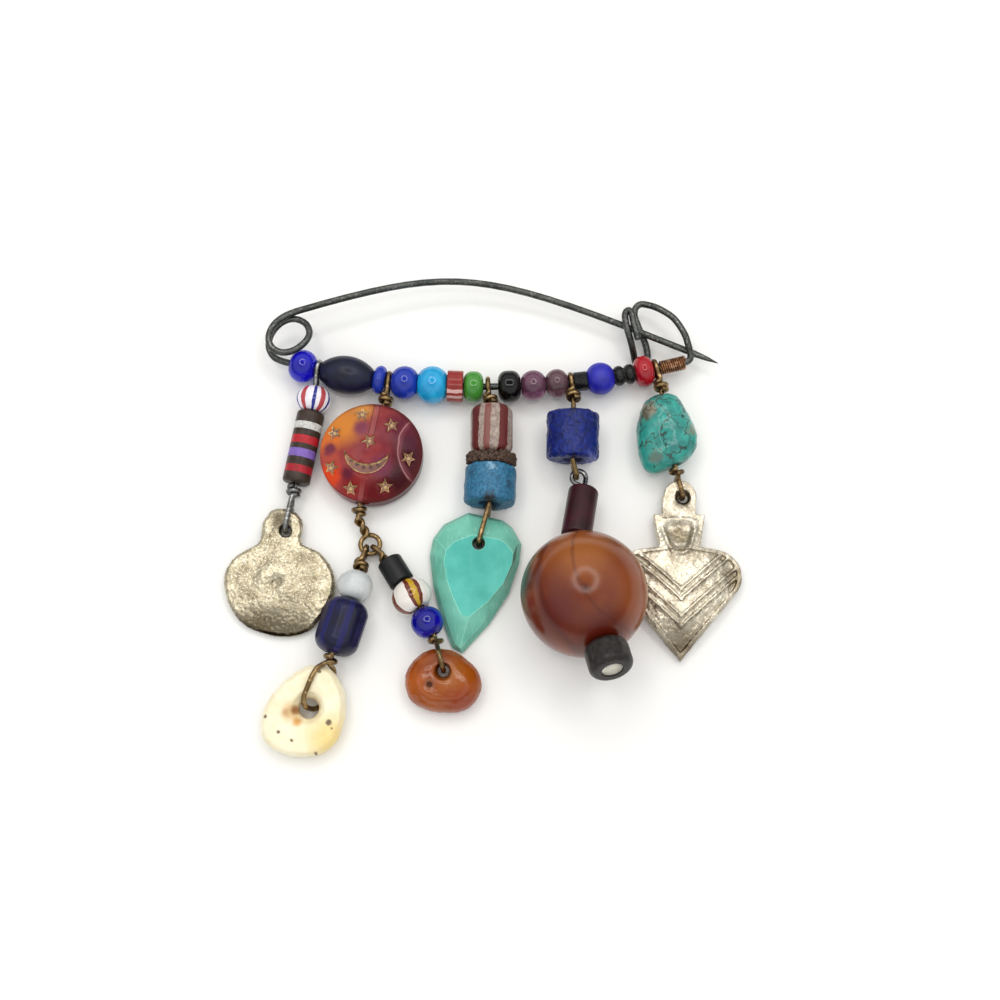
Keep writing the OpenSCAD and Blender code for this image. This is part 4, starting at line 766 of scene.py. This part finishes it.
# Milk glass glows softly, the navy glass has dull grooves, and bone is cream with a silky gloss.
string_bead("left_white_bead", "milk_bead", "left_wire", glass_finish(
    "milk_glass", "#d4d7d6", "#bcc2c2", rough=0.12, milk=0.3, worn=0.4)[0])
# The navy barrel's lighter stripes are painted sheen, and its two dark thin stripes are painted shade
# in its grooves.
string_bead("left_navy_barrel", "navy_barrel_bead", "left_wire", striped(glass_finish(
    "navy_barrel_glass", "#0f0f44", "#090926", rough=0.34, shine=0.3),
    [(-36, 8, "#131352"), (-24, 2, "#0a0a30"), (12, 2, "#1c1c5c"), (20, 6, "#131350"),
     (46, 3, "#08082a")], blur=1), crease=50)
# The ring at (-0.3, 0.8) round the hole is painted shade on the hole's wall.
bone = stains_and_painted_light(glass_finish("polished_bone", "#faf2d4", "#f2e6c0", rough=0.34, worn=0.0,
                            milk=0.15), [
    (3.4, 3.4, 2.4, 1.8, "#f0d68e"), (-0.3, 0.8, 1.35, 0.25, "#d8c298"),
    (0.3, -1.4, 1.0, 0.7, "#e0c08a"), (1.4, -0.6, 0.5, 0.4, "#d8a050"),
    (0.3, -1.9, 0.4, 0.4, "#c8a070"), (0.0, -0.9, 0.5, 0.3, "#a07040"),
    (0.8, -4.4, 0.22, 0.1, "#7a6240"), (2.6, -2.8, 0.2, 0.1, "#7a6240"),
    (3.6, -1.2, 0.2, 0.1, "#86704c"), (1.5, 3.2, 0.36, 0.14, "#6a5236"),
    (-4.5, 2.0, 0.22, 0.12, "#86704c"), (5.1, 1.7, 0.18, 0.1, "#7a6240"),
    (-3.6, 1.0, 0.14, 0.08, "#98825c"), (2.2, 3.6, 0.12, 0.08, "#7a6240")],
    ragged=0.06, grain_mm=0.4)[0]
charm("bone_ring", "bone_ring_charm", 0.14, (2.4, 0.25), (0.6, 0.03), 5, bone, rounds=12)

# Drop 2, right string
# Its beads are a matte black tube, a white glass bead with brown and yellow canes, and a clear
# cobalt bead. A tumbled pebble of amber hangs below, painted paler where it is thin as light would show
# through it, with one pit.
bend_wire("right_wire", "brass_right_wire", old_brass)
# The tube is etched and drinks the light, the white glass is opaque and glossy, the cobalt is
# clear, and the amber has a soft, slightly greasy gloss.
string_bead("right_black_tube", "black_tube_bead", "right_wire", glass_finish(
    "matte_black_glass", "#1a1b1d", "#111213", rough=0.36, worn=0.3, shine=0.25)[0])
string_bead("right_striped_bead", "swirl_cane_bead", "right_wire", striped(glass_finish(
    "white_swirl_glass", "#f0ece6", "#e2dcd4", rough=0.1, milk=0.1),
    [(14, 21, "#6a3020"), (14, 8, "#c09a20"), (-68, 14, "#7a4030"), (130, 16, "#7a3026")],
    twist=4.0))
string_bead("right_cobalt_bead", "small_cobalt_bead", "right_wire", glass_finish(
    "small_cobalt_glass", "#1414c4", "#0a0a8c", clear=0.45, rough=0.04, shine=0.4)[0])
# On the amber the pale patch at (-0.4, 1.0) is a painted highlight, the paler patch at (0.2, -3.6) is
# painted light where it is thin, and the dark patch at (-1.2, 0.0) is painted shade in its hole.
amber = stains_and_painted_light(glass_finish("tumbled_amber", "#9e4c08", "#843a04", rough=0.18, worn=0.0,
                             cloud_mm=3.0), [
    (-0.4, 1.0, 1.6, 1.4, "#a05c28"), (2.8, 2.4, 1.6, 1.4, "#8c3408"), (0.2, -3.6, 1.2, 1.0, "#a8500e"),
    (0.7, -1.6, 0.7, 0.25, "#8a4a24"), (0.7, -1.6, 0.35, 0.15, "#4a2412"),
    (-1.2, 0.0, 0.8, 0.25, "#5e2a10")], ragged=0.1)[0]


def amber_pit(x, y):
    """One small pit, half a millimetre deep."""
    return -0.5 * math.exp(-(math.hypot(x - 0.7, y + 1.6) / 0.36) ** 2)


charm("amber_nugget", "amber_charm", 0.12, (2.8, 0.2), (0.8, 0.03), 8, amber, rounds=45,
      rise=amber_pit)

# Drop 3
# An old trade bead of cream glass with brick-red canes and sand in its skin, a collar of
# sintered dark crust, a weathered blue bead with a frosted skin, and a drop of turquoise whose
# polished table, ground bevels and sawn wall each shine differently.
bend_wire("drop3_wire", "brass_third_wire", old_brass)
# Sand in the cream glass makes it dull and speckled, and the brick-red canes are smoother.
cane = "#602423"
string_bead("drop3_striped_tube", "striped_tube_bead", "drop3_wire", striped(glass_finish(
    "sanded_cream_glass", "#b0a092", "#82706a", rough=0.3, worn=0.6, pits=0.9, cloud_mm=0.4,
    shine=0.3), [(-52, 15, cane), (-12, 9, "#7a4840"), (36, 14, cane), (80, 9, cane), (135, 13, cane),
                 (-104, 12, cane), (-155, 12, cane)], blur=2, twist=1.0))
# Sintered crust is coarse, matte and almost black in its holes.
crust_finish = stains_and_painted_light(glass_finish("sintered_crust", "#6a5446", "#1e1511", rough=0.7, worn=0.0,
                                    cloud_mm=0.25, shine=0.2), [(0.0, 3.0, 1.0, 0.8, "#4a3a30")],
                       ragged=0.4)[0]
charm("drop3_crust", "sintered_crust_collar", 0.11, (1.7, 0.5), (0.45, 0.5), 11, crust_finish,
      rounds=1)
# Weathered glass has a frosted, finely pitted skin with pale and dark blotches.
# The dark grey patch at (2.4, 0.0) is painted shade in the hole at its lower end.
weathered = stains_and_painted_light(glass_finish("weathered_blue_glass", "#3a7a9e", "#235a78", rough=0.4, worn=0.8,
                                 pits=0.9, hole=1.8, cloud_mm=0.4, shine=0.25), [
    (-1.9, 0.0, 0.5, 0.4, "#7ca4bc"), (0.2, 2.4, 0.4, 0.3, "#2a4c64"),
    (-1.0, -2.2, 0.3, 0.3, "#2a4c64"), (2.4, 0.0, 0.7, 0.4, "#2a2a30")],
    ragged=0.5, grain_mm=0.5)[0]
charm("drop3_blue_bead", "weathered_blue_bead", 0.12, (1.5, 0.16), (0.35, 0.1), 12, weathered,
      rounds=3, lie=lie_of("drop3_blue_bead", "drop3_wire"))


def cut_stone(name, skin, deep, rough, scratch):
    """Dense turquoise: a slow cloud of greener stone, and fine scratches of the grinding.

    The scratches are drawn 3 mm long and a sixth of one wide, coarser than the real ones, so
    that they show.
    """
    material, tree, shader, colour = glass_finish(name, skin, deep, rough=rough, worn=0.0,
                                                  cloud_mm=3.0, shine=0.3)
    place = own_place(tree)[0]
    lines = add(tree, "ShaderNodeMapping", {0: place, "Rotation": (0, 0, 0.4),
                                            "Scale": (0.35, 6.0, 2.0)})
    lines = add(tree, "ShaderNodeTexNoise", {"Vector": lines, "Scale": 1.0, "Detail": 3.0})
    lines = add(tree, "ShaderNodeMapRange", {0: lines, 1: 0.6, 2: 0.72, 4: scratch})
    colour = add(tree, "ShaderNodeMix", {"Factor": lines, "A": colour, "B": "#b4e4d6"},
                 data_type="RGBA").outputs["Result"]
    tree.links.new(colour, shader.inputs["Base Color"])
    return material


pendant_lie = flat_lie("turquoise_pendant")
pendant = smooth_copy("turquoise_pendant", "turquoise_drop_pendant", pendant_lie, 15)
for finish in (cut_stone("turquoise_table", "#5cc0b2", "#48ac9e", 0.26, 0.12),
               cut_stone("turquoise_bevel", "#7ac6b0", "#62ae98", 0.4, 0.6),
               cut_stone("turquoise_sawn_wall", "#56907c", "#437a68", 0.6, 0.5),
               cut_stone("turquoise_worn_edge_highlight", "#98dcc8", "#7ccab4", 0.35, 0.2)):
    pendant.data.materials.append(finish)
solid = bmesh.new()
solid.from_mesh(pendant.data)
bmesh.ops.dissolve_limit(solid, angle_limit=math.radians(3), verts=solid.verts, edges=solid.edges)
table_rise, bevel_rise, worn_mm = 0.985, 0.3, 0.17
for face in solid.faces:
    rise = face.normal.z
    face.material_index = 0 if rise > table_rise else 1 if rise > bevel_rise else 2
bmesh.ops.triangulate(solid, faces=solid.faces, ngon_method="BEAUTY")
solid.to_mesh(pendant.data)
solid.free()
# The worn edges are rounded off by a bevel, and their paler turquoise is a painted highlight.
worn = pendant.modifiers.new("worn_edges", "BEVEL")
worn.width, worn.segments, worn.limit_method = worn_mm * MM, 2, "ANGLE"
worn.angle_limit, worn.material, worn.loop_slide = math.radians(19), 3, False
eased = as_seen(pendant)
eased.shade_flat()
pendant.modifiers.clear()
pendant.data = eased
know_place(pendant, pendant_lie)
settle(pendant, "turquoise_pendant")

# Drop 4
# A chunk of ground cobalt glass hangs on a brass loop. The brighter wire below it carries a
# matte burgundy tube, a polished carnelian ball, which is cloudy and banded inside, and a
# charcoal end bead with a pale core.
bend_wire("drop4_wire", "brass_fourth_wire", old_brass)
bend_wire("drop4_lower_wire", "bright_lower_wire", grey_iron)
# Ground glass is rough and mottled, and so deep a blue that only its knobs shine.
# The two dark spots at (-3.0, 0.0) and (3.0, 0.0) are painted shade in its hole, at both ends.
rough_cobalt = stains_and_painted_light(glass_finish("ground_cobalt_glass", "#11267c", "#0c1954", rough=0.3,
                                    worn=0.5, hole=1.8, cloud_mm=0.6, shine=0.25), [
    (-3.0, 0.0, 0.4, 0.3, "#0c1034"), (3.0, 0.0, 0.4, 0.3, "#0c1034"),
    (3.0, 2.4, 0.5, 0.4, "#5a64a8")], ragged=0.5, grain_mm=0.5)[0]
charm("drop4_blue_bead", "ground_cobalt_bead", 0.12, (1.6, 0.25), (0.35, 0.14), 14, rough_cobalt,
      lie=lie_of("drop4_blue_bead", "drop4_wire"))
# Etched burgundy glass has a soft line of sheen along its length.
string_bead("drop4_tube_bead", "burgundy_tube_bead", "drop4_lower_wire", glass_finish(
    "burgundy_glass", "#3e131e", "#280c13", rough=0.3, worn=0.3, shine=0.25)[0])
# Polished agate of one warm colour, with two darker growth lines, under a smooth gloss. Its
# orange upper side is painted light, and its wine red lower side and dark left rim are painted shade.
carnelian = stains_and_painted_light(glass_finish("polished_carnelian", "#8a461e", "#6e2f14", rough=0.2, worn=0.0,
                                 cloud_mm=5.0, shine=0.35), [
    (-4.0, -0.6, 3.4, 3.0, "#92521f"), (3.6, -4.0, 3.2, 2.6, "#5a1a10"),
    (6.0, 1.6, 3.0, 2.4, "#54180e"), (-1.0, -7.4, 1.6, 1.4, "#4a1c12"),
    (0.0, 5.6, 2.2, 2.0, "#824018"), (0.9, -0.3, 0.4, 0.5, "#40160a")], ragged=0.2, grain_mm=3.0)
carnelian = arcs_of_lines_and_highlight(carnelian, [(-3.3, 6.8, 8.5, 0.3, "#4c1c0c", 0.4),
                               (-1.0, 4.0, 9.6, 0.5, "#4c180e", 0.6)])[0]
string_bead("drop4_ball", "carnelian_ball", "drop4_lower_wire", carnelian,
            lie=flat_lie("drop4_ball"))
# The end bead is ground and matte, and its core is chalky paste.
string_bead("drop4_end_bead", "charcoal_end_bead", "drop4_lower_wire", glass_finish(
    "charcoal_glass", "#322c2a", "#1a1716", rough=0.34, worn=0.2, cloud_mm=0.6, shine=0.25)[0])
string_bead("drop4_end_core", "pale_end_core", "drop4_lower_wire", glass_finish(
    "pale_core_paste", "#e0dccf", "#c4bfb0", rough=0.6, worn=0.1)[0])

# Drop 5, nugget
# A tumbled nugget of turquoise, smooth and glossy, with dark cracks and patches of the brown
# and grey rock that it grew in.
bend_wire("drop5_wire", "brass_fifth_wire", old_brass)
material, tree, shader, colour = stains_and_painted_light(glass_finish(
    "tumbled_turquoise", "#36a294", "#227a74", rough=0.2, worn=0.0, cloud_mm=1.6, shine=0.45), [
    (-3.0, -2.0, 0.9, 0.5, "#8a7862"), (-2.2, -2.6, 0.6, 0.4, "#5e5444"),
    (0.6, 2.9, 0.7, 0.5, "#76806e"), (3.4, -2.2, 0.7, 0.5, "#5a6a60"),
    (-4.4, -0.4, 0.6, 0.5, "#3a5a58"), (2.6, 0.4, 0.5, 0.4, "#2c7672")],
    ragged=0.5, grain_mm=0.9, keep=0.85)
# Cracks bend as they run, and lie about four millimetres apart.
place = own_place(tree)[0]
bent = add(tree, "ShaderNodeTexNoise", {"Vector": place, "Scale": 0.9, "Detail": 1.4})
bent = add(tree, "ShaderNodeVectorMath", {0: bent.outputs["Color"], "Scale": 2.6}, operation="SCALE")
bent = add(tree, "ShaderNodeVectorMath", {0: place, 1: bent}, operation="ADD")
crack = add(tree, "ShaderNodeTexVoronoi", {"Vector": bent, "Scale": 0.27},
            feature="DISTANCE_TO_EDGE")
crack = add(tree, "ShaderNodeMapRange", {0: crack.outputs["Distance"], 1: 0.035, 2: 0.01, 4: 0.9})
colour = add(tree, "ShaderNodeMix", {"Factor": crack, "A": colour, "B": "#2e3a34"},
             data_type="RGBA").outputs["Result"]
tree.links.new(colour, shader.inputs["Base Color"])
charm("drop5_turquoise", "turquoise_nugget", 0.14, (2.4, 0.3), (1.0, 0.03), 17, material,
      rounds=40, lie=lie_of("drop5_turquoise", "drop5_wire"))

# Drop 5, heart
# A heart cast in the same pale metal: a pillowed field inside a thin rim, two pairs of
# chevrons across it, and a crown with raised lips round a rough hollow.
heart_metal = stains_and_painted_light(pot_metal("cast_heart_metal", "#fffaf0", "#d8cfba", "#a89c86"), [
    (-8.6, 0.6, 1.0, 0.4, "#40331f"), (-4.2, 0.0, 1.2, 0.6, "#7a6a4c"),
    (9.6, 0.0, 3.0, 2.4, "#5a4c36"), (1.0, -7.0, 1.8, 1.4, "#6a5c44"),
    (1.5, 7.2, 1.6, 1.2, "#7c6e54")], keep=0.75)[0]


def heart_form(x, y):
    """Swells the field, and sinks a wedge with raised lips into the crown."""
    field = max(0, 1 - ((x - 2.2) / 8.5) ** 2 - (y / 7.4) ** 2)
    down = (x + 4.1) / 1.9
    wedge = (down ** 4 + (y / (1.55 - 0.5 * down)) ** 4) ** 0.25
    lip = 0.25 * math.exp(-((wedge - 1.1) / 0.2) ** 2)
    crown = lip - 0.4 * math.exp(-wedge ** 6) if x < -1.6 else 0
    return 1.3 * field * field * (3 - 2 * field) + crown


charm("heart_charm", "cast_heart", 0.1, (1.0, 0.14), (0.35, 0.09), 19, heart_metal,
      rounds=6, rise=heart_form)
